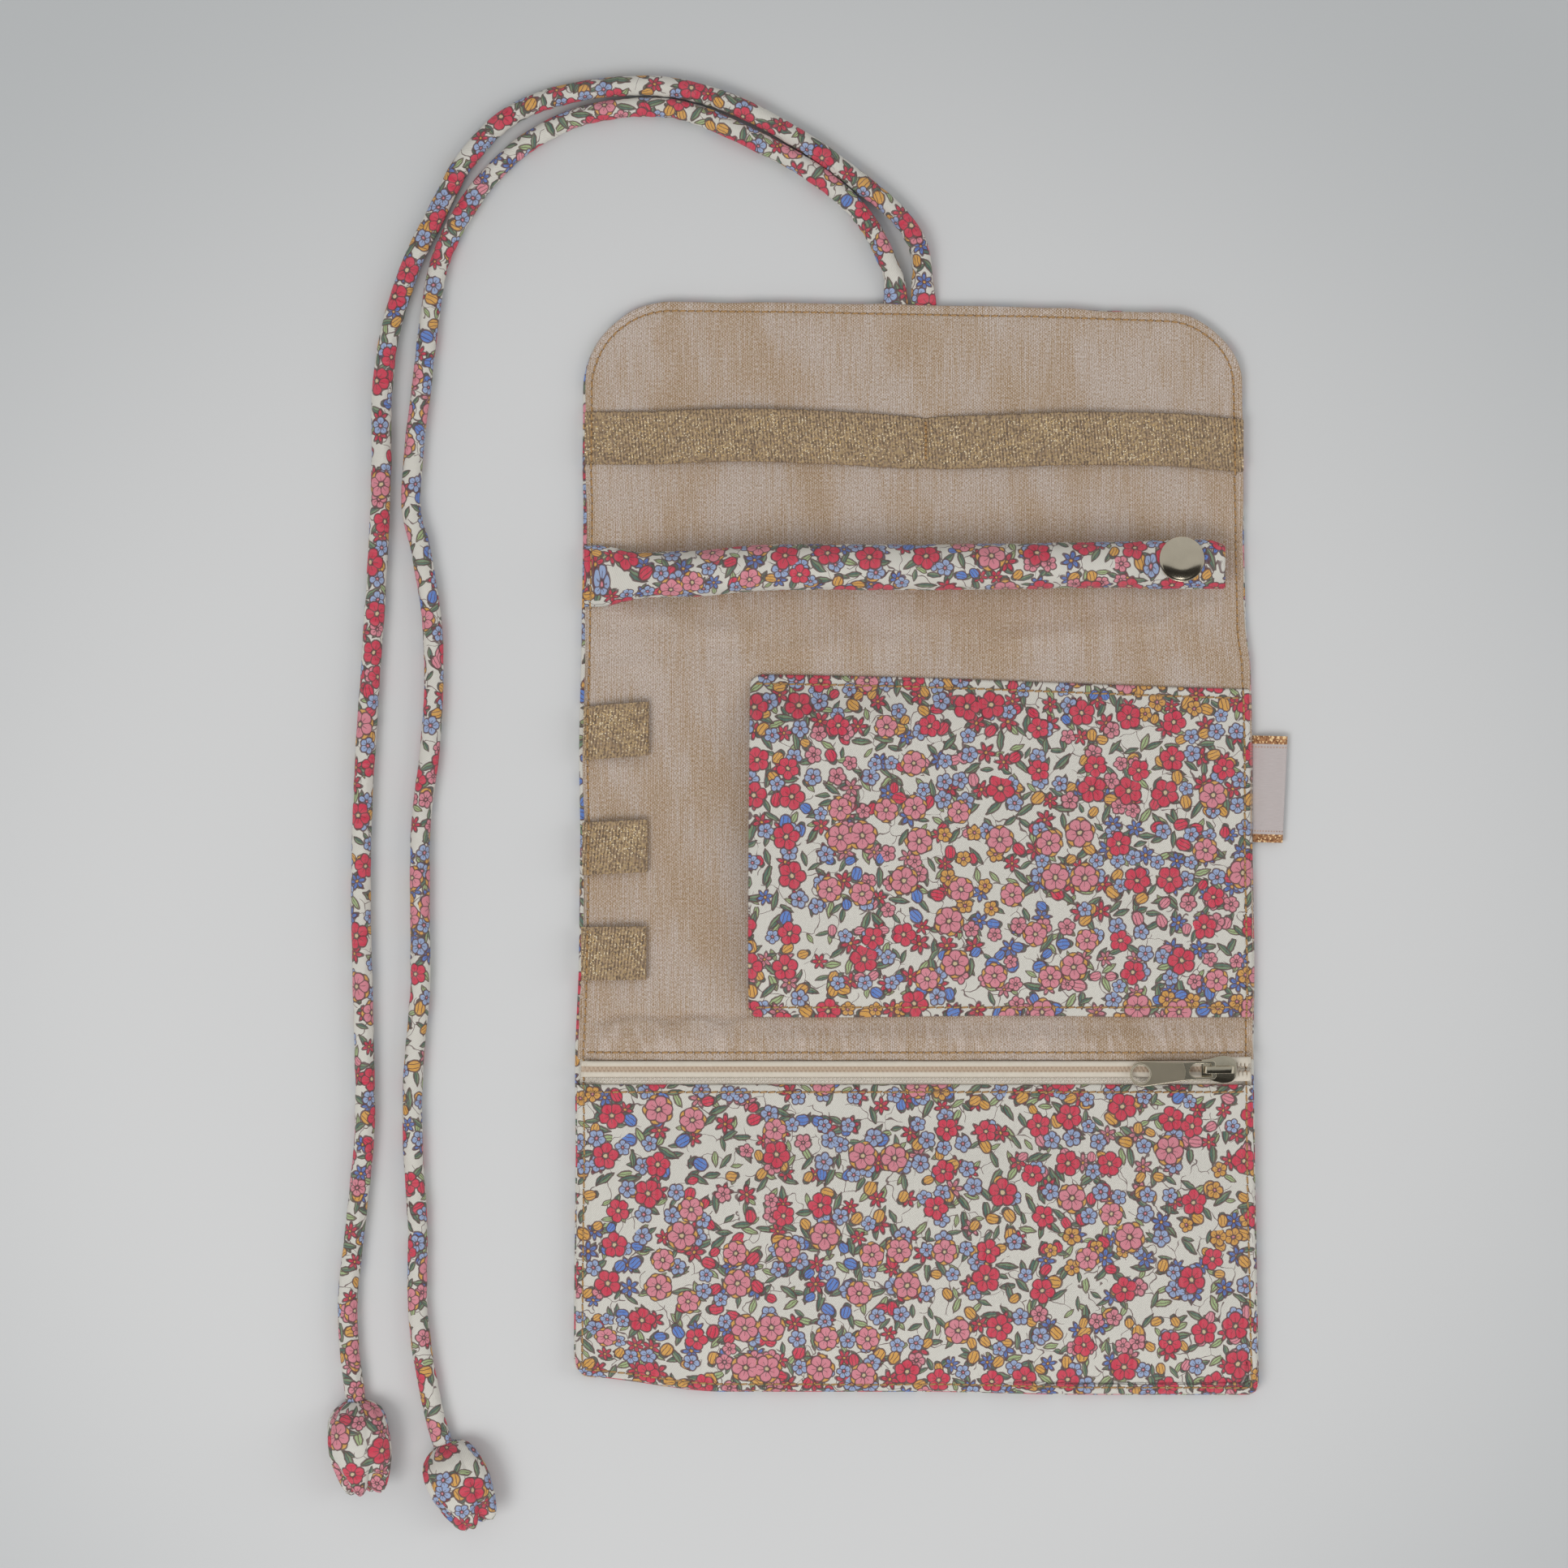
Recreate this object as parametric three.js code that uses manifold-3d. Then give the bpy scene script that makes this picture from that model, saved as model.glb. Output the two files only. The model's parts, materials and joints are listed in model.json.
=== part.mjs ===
// Jewelry roll pouch, lying open: a flap, a middle panel and a zip pocket panel in one row, with
// two tie cords sewn into the flap's top seam.
// Millimetres. Origin at the centre of the underside, +X to the label side, +Y to the cords, +Z up.
import * as THREE from 'three';
import { mergeVertices } from 'three/addons/utils/BufferGeometryUtils.js';
import Module from 'manifold-3d';

const wasm = await Module();
wasm.setup();

// Panels, from the cords down
const flapLength = 98.3;
const middleLength = 111.4;
const pocketLength = 108.3;
const flapWidth = 193.2;
const baseWidth = 200.4;
const flapCornerRadius = 24;
const baseCornerRadius = 3.5;
const foldGap = 0.3;

// Layers of a panel: printed shell, wadding, lining
const shellThickness = 0.6;
const waddingThickness = 1.2;
const liningThickness = 0.6;
const seamWidth = 0.9;
const layerGap = 0.3;
const waddingInset = 0.4;

// Ribbon that runs across the flap and holds earrings, tacked down at its middle
const bandWidth = 15;
const bandFromTop = 39.6;
const bandSlope = -0.0125;
const bandThickness = 0.6;
const bandBow = 1.2;
const bandTackX = 2.9;
const tackLength = 11.4;
const tackWidth = 0.9;
const tackHeight = 0.5;

// Stuffed ring roll, sewn into the left seam and closed by a snap at its right end
const rollRadius = 6.5;
const rollWall = 0.5;
const rollFromFold = 21.0;
const rollSlope = 0.0175;
const rollEndFromSeam = 7.5;
const rollSeamHalfWidth = 9;
const rollSeamHalfHeight = 1;
const rollSnapHalfWidth = 7.5;
const rollSnapHalfHeight = 1.4;
const rollSeamTaper = 24;
const rollSnapLength = 20;
const rollSides = 16;

// Snap fastener
const snapFromRollEnd = 12.8;
const snapFromFold = 23.5;
const capRadius = 6.6;
const capThickness = 1.3;
const capBevel = 0.5;
const capPostRadius = 1.4;
const socketRadius = 5.4;
const socketHeight = 2.4;
const socketBoreRadius = 2.2;
const socketRoof = 0.6;
const studRadius = 5.2;
const studFlange = 0.6;
const studNeckRadius = 1.5;
const studBulbRadius = 1.9;
const studHeight = 2.6;
const rivetRadius = 5;
const rivetThickness = 0.6;
const rivetPostRadius = 1.2;
const snapClearance = 0.3;

// Three folded ribbon loops on the left seam
const loopDrops = [26.4, 60.4, 91.4];
const loopWidths = [16.4, 15.8, 15.7];
const loopReach = 18.8;
const loopRadius = 1.2;
const loopThickness = 0.6;

// Patch pocket on the middle panel, open to the left
const patchWidth = 146.4;
const patchFromFold = 10.2;
const patchRightDrop = 4.1;
const patchBottomMargin = 1.9;
const patchThickness = 1;
const patchGape = 4.4;
const patchSewnEdge = 16;
const patchGapeLength = 58;

// Blank folded label in the right seam
const labelFromFold = 43.4;
const labelLength = 31.2;
const labelReach = 10.2;
const labelRadius = 0.55;
const labelThickness = 0.4;
const labelHeight = 1;

// Zip across the pocket panel
const zipFromFold = 13.7;
const facingFromZip = 4.1;
const frontFromZip = 4.95;
const tapeWidth = 7;
const tapeThickness = 0.5;
const tapeHeight = 4.5;
const tapeFromCentre = 1.5;
const coilFromCentre = 1;
const coilHalfWidth = 1.8;
const coilHeight = 1.7;
const toothReach = 0.5;
const toothWidth = 0.6;
const toothPitch = 1.8;
const rowSpread = 1.2;
const facingThickness = 0.6;

// Zip slider and its pull
const sliderFromSeam = 16;
const sliderLength = 10.3;
const sliderHalfWidth = 4;
const sliderHeelHalfWidth = 2.9;
const sliderNoseHalfWidth = 2.1;
const sliderPlate = 0.9;
const sliderClearance = 0.25;
const spreadStart = 3;
const spreadLength = 3.2;
const postStart = 5.4;
const postEnd = 9;
const postHalfWidth = 0.42;
const bridgeStart = 0.5;
const bridgeLength = 9;
const bridgeWidth = 2;
const bridgeLeg = 1;
const bridgeInnerHeight = 2;
const bridgeCrown = 0.8;
const pullAxis = 3.4;
const pullLength = 24.4;
const pullThickness = 1;
const pullBar = 0.7;
const pullNeckHalfWidth = 2.7;
const pullHeadHalfWidth = 3.8;
const pullNeckLength = 8;
const pullSlotReach = 6.9;
const pullSlotHalfWidth = 1.9;
const pullHoleRadius = 2.6;
const pullHoleFromEnd = 3.2;
const pullYaw = THREE.MathUtils.degToRad(3.5);
const pullDroop = THREE.MathUtils.degToRad(-3);

// Pocket front and its lining
const frontThickness = 0.6;
const frontLiningThickness = 0.4;
const frontCrown = 4.5;
const frontSideRise = 24;
const frontBaseRise = 20;
const frontZipRise = 28;

// Tie cords and their tulip tips
const cordRadius = 2.9;
const cordSides = 8;
const cordSteps = 44;
const tipLength = 27;
const tipHalfWidth = 9.2;
const tipHalfHeight = 6.4;
const tipPetals = 4;
const tipPetalDepth = 0.14;
const tipSides = 24;

// Places worked out from the sizes above
const topY = (flapLength + middleLength + pocketLength) / 2;
const upperFoldY = topY - flapLength;
const lowerFoldY = upperFoldY - middleLength;
const baseY = lowerFoldY - pocketLength;
const waddingZ = shellThickness + layerGap;
const rimZ = waddingZ + waddingThickness;
const liningZ = rimZ + layerGap;
const panelTop = liningZ + liningThickness;
const seatZ = panelTop + layerGap;
const zipY = lowerFoldY - zipFromFold;
const facingEdgeY = zipY + facingFromZip;
const frontEdgeY = zipY - frontFromZip;
const tapeTop = tapeHeight + tapeThickness;
const coilZ = tapeTop + layerGap;
const sliderX = halfWidth(zipY) - sliderFromSeam;
const rollSeamX = -halfWidth(upperFoldY + rollFromFold) + seamWidth;
const rollEndX = halfWidth(upperFoldY + rollFromFold) - rollEndFromSeam;
const snapX = rollEndX - snapFromRollEnd;

// Colours
const fabricPrint = { color: 0xe2d3cd, roughness: 0.9 };
const liningCloth = { color: 0xbca891, roughness: 0.7 };
const glitterRibbon = { color: 0xa08c72, roughness: 0.45, metalness: 0.3 };
const waddingFibre = { color: 0xf4f2ec, roughness: 1 };
const nickel = { color: 0xaaa598, roughness: 0.3, metalness: 1 };
const zipCloth = { color: 0xded2c4, roughness: 0.8 };
const zipNylon = { color: 0xe6dccb, roughness: 0.45 };
const thread = { color: 0xb08c54, roughness: 0.6 };
const satin = { color: 0xf4f1ea, roughness: 0.4 };

// Closed solids to and from triangle meshes
function toSolid(geometry) {
  const bare = geometry.clone();
  bare.deleteAttribute('normal');
  bare.deleteAttribute('uv');
  const merged = mergeVertices(bare, 1e-4);
  return new wasm.Manifold(new wasm.Mesh({
    numProp: 3,
    vertProperties: merged.attributes.position.array,
    triVerts: new Uint32Array(merged.index.array),
  }));
}

function toGeometry(solid) {
  const mesh = solid.getMesh();
  const geometry = new THREE.BufferGeometry();
  geometry.setAttribute('position', new THREE.BufferAttribute(new Float32Array(mesh.vertProperties), 3));
  geometry.setIndex(new THREE.BufferAttribute(new Uint32Array(mesh.triVerts), 1));
  geometry.computeVertexNormals();
  return geometry;
}

function cut(body, ...tools) {
  return toGeometry(tools.reduce((rest, tool) => rest.subtract(toSolid(tool)), toSolid(body)));
}

function join(...pieces) {
  const solids = pieces.map(toSolid);
  return toGeometry(solids.reduce((sum, piece) => sum.add(piece)));
}

// A smooth step from 0 to 1
function ease(t) {
  const held = Math.min(1, Math.max(0, t));
  return held * held * (3 - 2 * held);
}

// Steps from 0 to 1, closer together at both ends
function easedSteps(count) {
  return Array.from({ length: count + 1 }, (_, i) => (1 - Math.cos((Math.PI * i) / count)) / 2);
}

function indexed(points, index) {
  const geometry = new THREE.BufferGeometry();
  geometry.setAttribute('position', new THREE.Float32BufferAttribute(points.flat(), 3));
  geometry.setIndex(signedVolume(points, index) < 0 ? index.toReversed() : index);
  geometry.computeVertexNormals();
  return geometry;
}

function signedVolume(points, index) {
  let total = 0;
  for (let i = 0; i < index.length; i += 3) {
    const [a, b, c] = [0, 1, 2].map((k) => new THREE.Vector3(...points[index[i + k]]));
    total += a.dot(b.cross(c)) / 6;
  }
  return total;
}

// A closed skin over rings of points, capped at the first and the last ring
function skin(rings) {
  const count = rings[0].length;
  const points = rings.flat();
  const index = [];
  for (let r = 0; r < rings.length - 1; r++) {
    for (let i = 0; i < count; i++) {
      const a = r * count + i;
      const b = r * count + ((i + 1) % count);
      index.push(a, b, a + count, b, b + count, a + count);
    }
  }
  const last = (rings.length - 1) * count;
  const middleOf = (ring) => [0, 1, 2].map((k) => ring.reduce((sum, p) => sum + p[k], 0) / count);
  points.push(middleOf(rings[0]), middleOf(rings.at(-1)));
  for (let i = 0; i < count; i++) {
    const next = (i + 1) % count;
    index.push(next, i, points.length - 2, last + i, last + next, points.length - 1);
  }
  return indexed(points, index);
}

// A closed sheet over a grid. place(u, v) gives x and y, and under(x, y) the height of its underside.
function sheet({ across, along, place, under, thickness }) {
  const columns = easedSteps(across);
  const rows = easedSteps(along);
  const points = [];
  for (const lift of [0, thickness]) {
    for (const v of rows) {
      for (const u of columns) {
        const [x, y] = place(u, v);
        points.push([x, y, under(x, y) + lift]);
      }
    }
  }
  const wide = columns.length;
  const layer = wide * rows.length;
  const index = [];
  const quad = (a, b, c, d) => index.push(a, b, c, a, c, d);
  for (let r = 0; r < along; r++) {
    for (let c = 0; c < across; c++) {
      const a = r * wide + c;
      quad(a, a + wide, a + wide + 1, a + 1);
      quad(layer + a, layer + a + 1, layer + a + wide + 1, layer + a + wide);
    }
  }
  for (let c = 0; c < across; c++) {
    const far = along * wide + c;
    quad(c, c + 1, layer + c + 1, layer + c);
    quad(far + 1, far, layer + far, layer + far + 1);
  }
  for (let r = 0; r < along; r++) {
    const left = r * wide;
    const right = left + across;
    quad(left + wide, left, layer + left, layer + left + wide);
    quad(right, right + wide, layer + right + wide, layer + right);
  }
  return indexed(points, index);
}

function halfWidth(y) {
  const share = (y - baseY) / (topY - baseY);
  return THREE.MathUtils.lerp(baseWidth, flapWidth, share) / 2;
}

// Outline of a panel between two heights, inset from its side seams
function panelShape({ low, high, inset = 0, lowRadius = 0, highRadius = 0 }) {
  const lowHalf = halfWidth(low) - inset;
  const highHalf = halfWidth(high) - inset;
  const shape = new THREE.Shape();
  shape.moveTo(-lowHalf + lowRadius, low);
  if (lowRadius > 0) {
    shape.absarc(lowHalf - lowRadius, low + lowRadius, lowRadius, -Math.PI / 2, 0);
  } else {
    shape.lineTo(lowHalf, low);
  }
  if (highRadius > 0) {
    shape.absarc(highHalf - highRadius, high - highRadius, highRadius, 0, Math.PI / 2);
    shape.absarc(-highHalf + highRadius, high - highRadius, highRadius, Math.PI / 2, Math.PI);
  } else {
    shape.lineTo(highHalf, high);
    shape.lineTo(-highHalf, high);
  }
  if (lowRadius > 0) {
    shape.absarc(-lowHalf + lowRadius, low + lowRadius, lowRadius, Math.PI, Math.PI * 1.5);
  } else {
    shape.lineTo(-lowHalf, low);
  }
  return shape;
}

function plate(shape, z, depth, curveSegments = 7) {
  const geometry = new THREE.ExtrudeGeometry(shape, { depth, curveSegments, bevelEnabled: false });
  return geometry.translate(0, 0, z);
}

// A profile drawn in X and Z, made width wide and centred on y
function sidewaysPlate(shape, y, width, curveSegments = 6) {
  const geometry = new THREE.ExtrudeGeometry(shape, { depth: width, curveSegments, bevelEnabled: false });
  return geometry.rotateX(Math.PI / 2).translate(0, y + width / 2, 0);
}

function upright(radius, bottom, top, x, y) {
  const post = new THREE.CylinderGeometry(radius, radius, top - bottom, 24);
  return post.rotateX(Math.PI / 2).translate(x, y, (bottom + top) / 2);
}

// A turned piece: profile points are [radius, height]
function turned(profile, x, y) {
  const points = profile.map(([radius, height]) => new THREE.Vector2(radius, height));
  return new THREE.LatheGeometry(points, 24).rotateX(Math.PI / 2).translate(x, y, 0);
}

// Half of the fold gap is left at an edge that meets a fold
function panelEdges(low, high) {
  return {
    low: low === baseY ? low : low + foldGap / 2,
    high: high === topY ? high : high - foldGap / 2,
    lowRadius: low === baseY ? baseCornerRadius : 0,
    highRadius: high === topY ? flapCornerRadius : 0,
  };
}

// The printed outer layer: a floor with its edge turned up round the wadding
function shellOf(low, high) {
  const edges = panelEdges(low, high);
  const body = plate(panelShape(edges), 0, rimZ);
  const hollow = panelShape({
    low: low === baseY ? edges.low + seamWidth : edges.low - seamWidth,
    high: high === topY ? edges.high - seamWidth : edges.high + seamWidth,
    inset: seamWidth,
    lowRadius: Math.max(0, edges.lowRadius - seamWidth),
    highRadius: Math.max(0, edges.highRadius - seamWidth),
  });
  return cut(body, plate(hollow, shellThickness, rimZ));
}

function waddingShape(low, high) {
  const edges = panelEdges(low, high);
  const inset = seamWidth + waddingInset;
  return panelShape({
    low: low === baseY ? edges.low + inset : edges.low,
    high: high === topY ? edges.high - inset : edges.high,
    inset,
    lowRadius: Math.max(0, edges.lowRadius - inset),
    highRadius: Math.max(0, edges.highRadius - inset),
  });
}

function waddingOf(low, high) {
  return plate(waddingShape(low, high), waddingZ, waddingThickness);
}

function liningOf(low, high) {
  return plate(panelShape(panelEdges(low, high)), liningZ, liningThickness);
}

// Glitter band with a shallow bow on each side of its tack
function bandGeometry() {
  const seam = (y) => halfWidth(y) - seamWidth;
  const centreY = (x) => topY - bandFromTop + bandSlope * x;
  const place = (u, v) => {
    const x = THREE.MathUtils.lerp(-seam(topY - bandFromTop), seam(topY - bandFromTop), u);
    return [x, centreY(x) + (v - 0.5) * bandWidth];
  };
  const under = (x) => {
    const end = (x < bandTackX ? -1 : 1) * seam(topY - bandFromTop);
    const share = (x - bandTackX) / (end - bandTackX);
    return seatZ + bandBow * Math.sin(Math.PI * share);
  };
  return sheet({ across: 24, along: 2, place, under, thickness: bandThickness });
}

function tackGeometry() {
  const radius = tackWidth / 2;
  const shape = new THREE.Shape();
  shape.moveTo(bandTackX - radius, -tackLength / 2 + radius);
  shape.absarc(bandTackX, -tackLength / 2 + radius, radius, Math.PI, Math.PI * 2);
  shape.absarc(bandTackX, tackLength / 2 - radius, radius, 0, Math.PI);
  const centreY = topY - bandFromTop + bandSlope * bandTackX;
  return plate(shape, seatZ + bandThickness + layerGap, tackHeight, 4).translate(0, centreY, 0);
}

// Snap heights, from the flap's lining up
const studTop = seatZ + studFlange + studHeight - snapClearance;
const socketTop = studTop + snapClearance + socketRoof;
const socketBottom = socketTop - socketHeight;
const rollSnapBottom = socketTop + snapClearance;
const rollSnapTop = rollSnapBottom + 2 * rollSnapHalfHeight;
const capBottom = rollSnapTop + snapClearance;
const snapY = upperFoldY + snapFromFold;

function capGeometry() {
  const top = capBottom + capThickness;
  return turned([
    [0, rollSnapBottom],
    [capPostRadius, rollSnapBottom],
    [capPostRadius, capBottom],
    [capRadius - capBevel, capBottom],
    [capRadius, capBottom + capBevel],
    [capRadius, top - capBevel],
    [capRadius - capBevel, top],
    [capRadius - 2 * capBevel, top - capBevel / 3],
    [0, top - capBevel / 3],
  ], snapX, snapY);
}

function socketGeometry() {
  const roofZ = studTop + snapClearance;
  return turned([
    [0, roofZ],
    [socketBoreRadius, roofZ],
    [socketBoreRadius, socketBottom],
    [socketRadius - capBevel, socketBottom],
    [socketRadius, socketBottom + capBevel],
    [socketRadius, socketTop],
    [0, socketTop],
  ], snapX, snapY);
}

function studGeometry() {
  const flangeTop = seatZ + studFlange;
  const bulbZ = studTop - studBulbRadius / 2;
  return turned([
    [0, seatZ],
    [studRadius, seatZ],
    [studRadius, flangeTop],
    [studNeckRadius, flangeTop],
    [studNeckRadius, bulbZ - studBulbRadius / 3],
    [studBulbRadius, bulbZ],
    [studNeckRadius, studTop],
    [0, studTop],
  ], snapX, snapY);
}

function rivetGeometry() {
  const flangeTop = waddingZ + rivetThickness;
  return turned([
    [0, waddingZ],
    [rivetRadius, waddingZ],
    [rivetRadius, flangeTop],
    [rivetPostRadius, flangeTop],
    [rivetPostRadius, panelTop],
    [0, panelTop],
  ], snapX, snapY);
}

// Ring roll stations: half width, half height and centre height at x
const rollY = (x) => upperFoldY + rollFromFold - 1.6 + rollSlope * (x - rollSeamX);
const snapTaperX = rollEndX - rollSnapLength;

function rollStation(x) {
  const fromSeam = ease((x - rollSeamX) / rollSeamTaper);
  const toSnap = ease((x - (snapTaperX - rollSnapLength / 2)) / (rollSnapLength / 2));
  const wideBody = THREE.MathUtils.lerp(rollSeamHalfWidth, rollRadius, fromSeam);
  const highBody = THREE.MathUtils.lerp(rollSeamHalfHeight, rollRadius, fromSeam);
  const high = THREE.MathUtils.lerp(highBody, rollSnapHalfHeight, toSnap);
  return {
    x,
    wide: THREE.MathUtils.lerp(wideBody, rollSnapHalfWidth, toSnap),
    high,
    centre: THREE.MathUtils.lerp(seatZ, rollSnapBottom, toSnap) + high,
  };
}

function rollRing(station, inset) {
  return Array.from({ length: rollSides }, (_, i) => {
    const angle = (2 * Math.PI * i) / rollSides;
    return [
      station.x,
      rollY(station.x) + (station.wide - inset) * Math.cos(angle),
      station.centre + (station.high - inset) * Math.sin(angle),
    ];
  });
}

function rollStations(from, to) {
  const seamSteps = [0, 0.15, 0.35, 0.55, 0.75, 1].map((t) => rollSeamX + t * rollSeamTaper);
  const bodySteps = [0.25, 0.5, 0.75].map((t) => THREE.MathUtils.lerp(seamSteps.at(-1), snapTaperX, t));
  const snapSteps = [-0.5, -0.4, -0.3, -0.2, -0.1, 0, 1].map((t) => snapTaperX + t * rollSnapLength);
  const inside = [...seamSteps, ...bodySteps, ...snapSteps].filter((x) => x > from && x < to);
  return [from, ...inside, to].map(rollStation);
}

// The cover is a tube: closed at its snap end, open where it goes into the seam
function rollCoverGeometry() {
  const outer = rollStations(rollSeamX, rollEndX).toReversed();
  const inner = rollStations(rollSeamX, rollEndX - rollWall);
  const tube = skin([
    ...outer.map((station) => rollRing(station, 0)),
    ...inner.map((station) => rollRing(station, rollWall)),
  ]);
  const bore = upright(capPostRadius + snapClearance, socketTop, capBottom, snapX, snapY);
  return cut(tube, bore);
}

function rollFillingGeometry() {
  const inset = rollWall + layerGap;
  const from = rollSeamX + rollSeamTaper / 3;
  const to = snapTaperX - 2 * layerGap;
  return skin(rollStations(from, to).map((station) => rollRing(station, inset)));
}

// A strip folded into a loop that reaches along X from a seam
function foldedLoop({ x, reach, bottom, radius, thickness, y, width }) {
  const away = Math.sign(reach);
  const bend = x + reach - away * radius;
  const middle = bottom + radius;
  const start = away > 0 ? -Math.PI / 2 : Math.PI * 1.5;
  const end = Math.PI / 2;
  const shape = new THREE.Shape();
  shape.moveTo(x, bottom);
  shape.lineTo(bend, bottom);
  shape.absarc(bend, middle, radius, start, end, away < 0);
  shape.lineTo(x, bottom + 2 * radius);
  shape.lineTo(x, bottom + 2 * radius - thickness);
  shape.lineTo(bend, bottom + 2 * radius - thickness);
  shape.absarc(bend, middle, radius - thickness, end, start, away > 0);
  shape.lineTo(x, bottom + thickness);
  return sidewaysPlate(shape, y, width);
}

function loopGeometry(drop, width) {
  const y = upperFoldY - drop;
  return foldedLoop({
    x: -halfWidth(y) + seamWidth,
    reach: loopReach,
    bottom: seatZ,
    radius: loopRadius,
    thickness: loopThickness,
    y,
    width,
  });
}

function labelGeometry() {
  const y = upperFoldY - labelFromFold;
  return foldedLoop({
    x: halfWidth(y - labelLength / 2) + layerGap,
    reach: labelReach,
    bottom: labelHeight,
    radius: labelRadius,
    thickness: labelThickness,
    y,
    width: labelLength,
  });
}

// Patch pocket: sewn down at its top, bottom and right, standing off the lining at its mouth
function patchGeometry() {
  const right = halfWidth(upperFoldY - middleLength / 2) - seamWidth;
  const left = right - patchWidth;
  const bottomY = lowerFoldY + patchBottomMargin;
  const topAt = (x) => upperFoldY - patchFromFold - (patchRightDrop * (x - left)) / patchWidth;
  const place = (u, v) => {
    const x = THREE.MathUtils.lerp(left, right, u);
    return [x, THREE.MathUtils.lerp(bottomY, topAt(x), v)];
  };
  const under = (x, y) => {
    const sewn = ease((topAt(x) - y) / patchSewnEdge) * ease((y - bottomY) / patchSewnEdge);
    const open = 1 - ease((x - left - patchGapeLength) / (patchWidth - patchGapeLength));
    return seatZ + patchGape * sewn * open;
  };
  return sheet({ across: 14, along: 10, place, under, thickness: patchThickness });
}

// How far the zip rows part at x, round the slider's post and on to the seam
function rowShift(x) {
  return rowSpread * ease((x - sliderX - spreadStart) / spreadLength);
}

// One row of zip teeth. Side 1 is the upper row, -1 the lower, whose teeth fill the gaps of the upper.
function coilGeometry(side) {
  const end = halfWidth(zipY) - seamWidth;
  const offset = side > 0 ? 0 : toothPitch / 2;
  const first = -end + toothWidth + offset;
  const count = Math.floor((end - toothWidth - first) / toothPitch);
  const at = (x, fromCentre) => new THREE.Vector2(x, zipY + side * (fromCentre + rowShift(x)));
  const outline = [at(-end, coilFromCentre), at(-end, coilHalfWidth), at(sliderX + spreadStart, coilHalfWidth)];
  for (let step = 1; step <= 4; step++) {
    outline.push(at(sliderX + spreadStart + (spreadLength * step) / 4, coilHalfWidth));
  }
  outline.push(at(end, coilHalfWidth), at(end, coilFromCentre));
  for (let k = count; k >= 0; k--) {
    const x = first + k * toothPitch;
    outline.push(
      at(x + toothWidth, coilFromCentre),
      at(x + toothWidth, -toothReach),
      at(x, -toothReach),
      at(x, coilFromCentre),
    );
  }
  return plate(new THREE.Shape(outline), coilZ, coilHeight);
}

function tapeGeometry(side) {
  const near = zipY + side * tapeFromCentre;
  const far = zipY + side * (tapeFromCentre + tapeWidth);
  const shape = panelShape({ low: Math.min(near, far), high: Math.max(near, far), inset: seamWidth });
  return plate(shape, tapeHeight, tapeThickness);
}

// Lining strip from the fold to the zip, lifted over the upper tape
function facingGeometry() {
  const foldEdge = lowerFoldY - foldGap / 2;
  const tapeEdge = zipY + tapeFromCentre + tapeWidth;
  const place = (u, v) => {
    const y = THREE.MathUtils.lerp(facingEdgeY, foldEdge, v);
    return [(2 * u - 1) * (halfWidth(y) - seamWidth), y];
  };
  const lift = tapeTop + layerGap - seatZ;
  const under = (x, y) => seatZ + lift * ease((foldEdge - y) / (foldEdge - tapeEdge - layerGap));
  return sheet({ across: 2, along: 8, place, under, thickness: facingThickness });
}

// Height that the pocket front gains from its sewn edges to its crown
function frontRise(x, y, zipLift) {
  const sides = ease((halfWidth(y) - seamWidth - Math.abs(x)) / frontSideRise);
  const base = ease((y - baseY - seamWidth) / frontBaseRise);
  const share = zipLift / frontCrown;
  const tapeEdge = zipY - tapeFromCentre - tapeWidth - 2 * layerGap;
  const fromZip = share + (1 - share) * ease((tapeEdge - y) / frontZipRise);
  const overTape = zipLift * (1 - ease((tapeEdge - y) / frontBaseRise));
  return Math.max(overTape, frontCrown * sides * base * fromZip);
}

function frontPlace(u, v) {
  const y = THREE.MathUtils.lerp(baseY + seamWidth, frontEdgeY, v);
  return [(2 * u - 1) * (halfWidth(y) - seamWidth), y];
}

// The pocket's own lining lies under the tape, and its front over it
const frontLiningZ = seatZ;
const frontZ = frontLiningZ + frontLiningThickness + layerGap;
const liningZipLift = tapeHeight - layerGap - frontLiningThickness - frontLiningZ;
const frontZipLift = tapeTop + layerGap - frontZ;

function frontLiningGeometry() {
  const under = (x, y) => frontLiningZ + frontRise(x, y, liningZipLift);
  return sheet({ across: 14, along: 10, place: frontPlace, under, thickness: frontLiningThickness });
}

function frontGeometry() {
  const under = (x, y) => frontZ + frontRise(x, y, frontZipLift);
  return sheet({ across: 14, along: 10, place: frontPlace, under, thickness: frontThickness });
}

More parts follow.
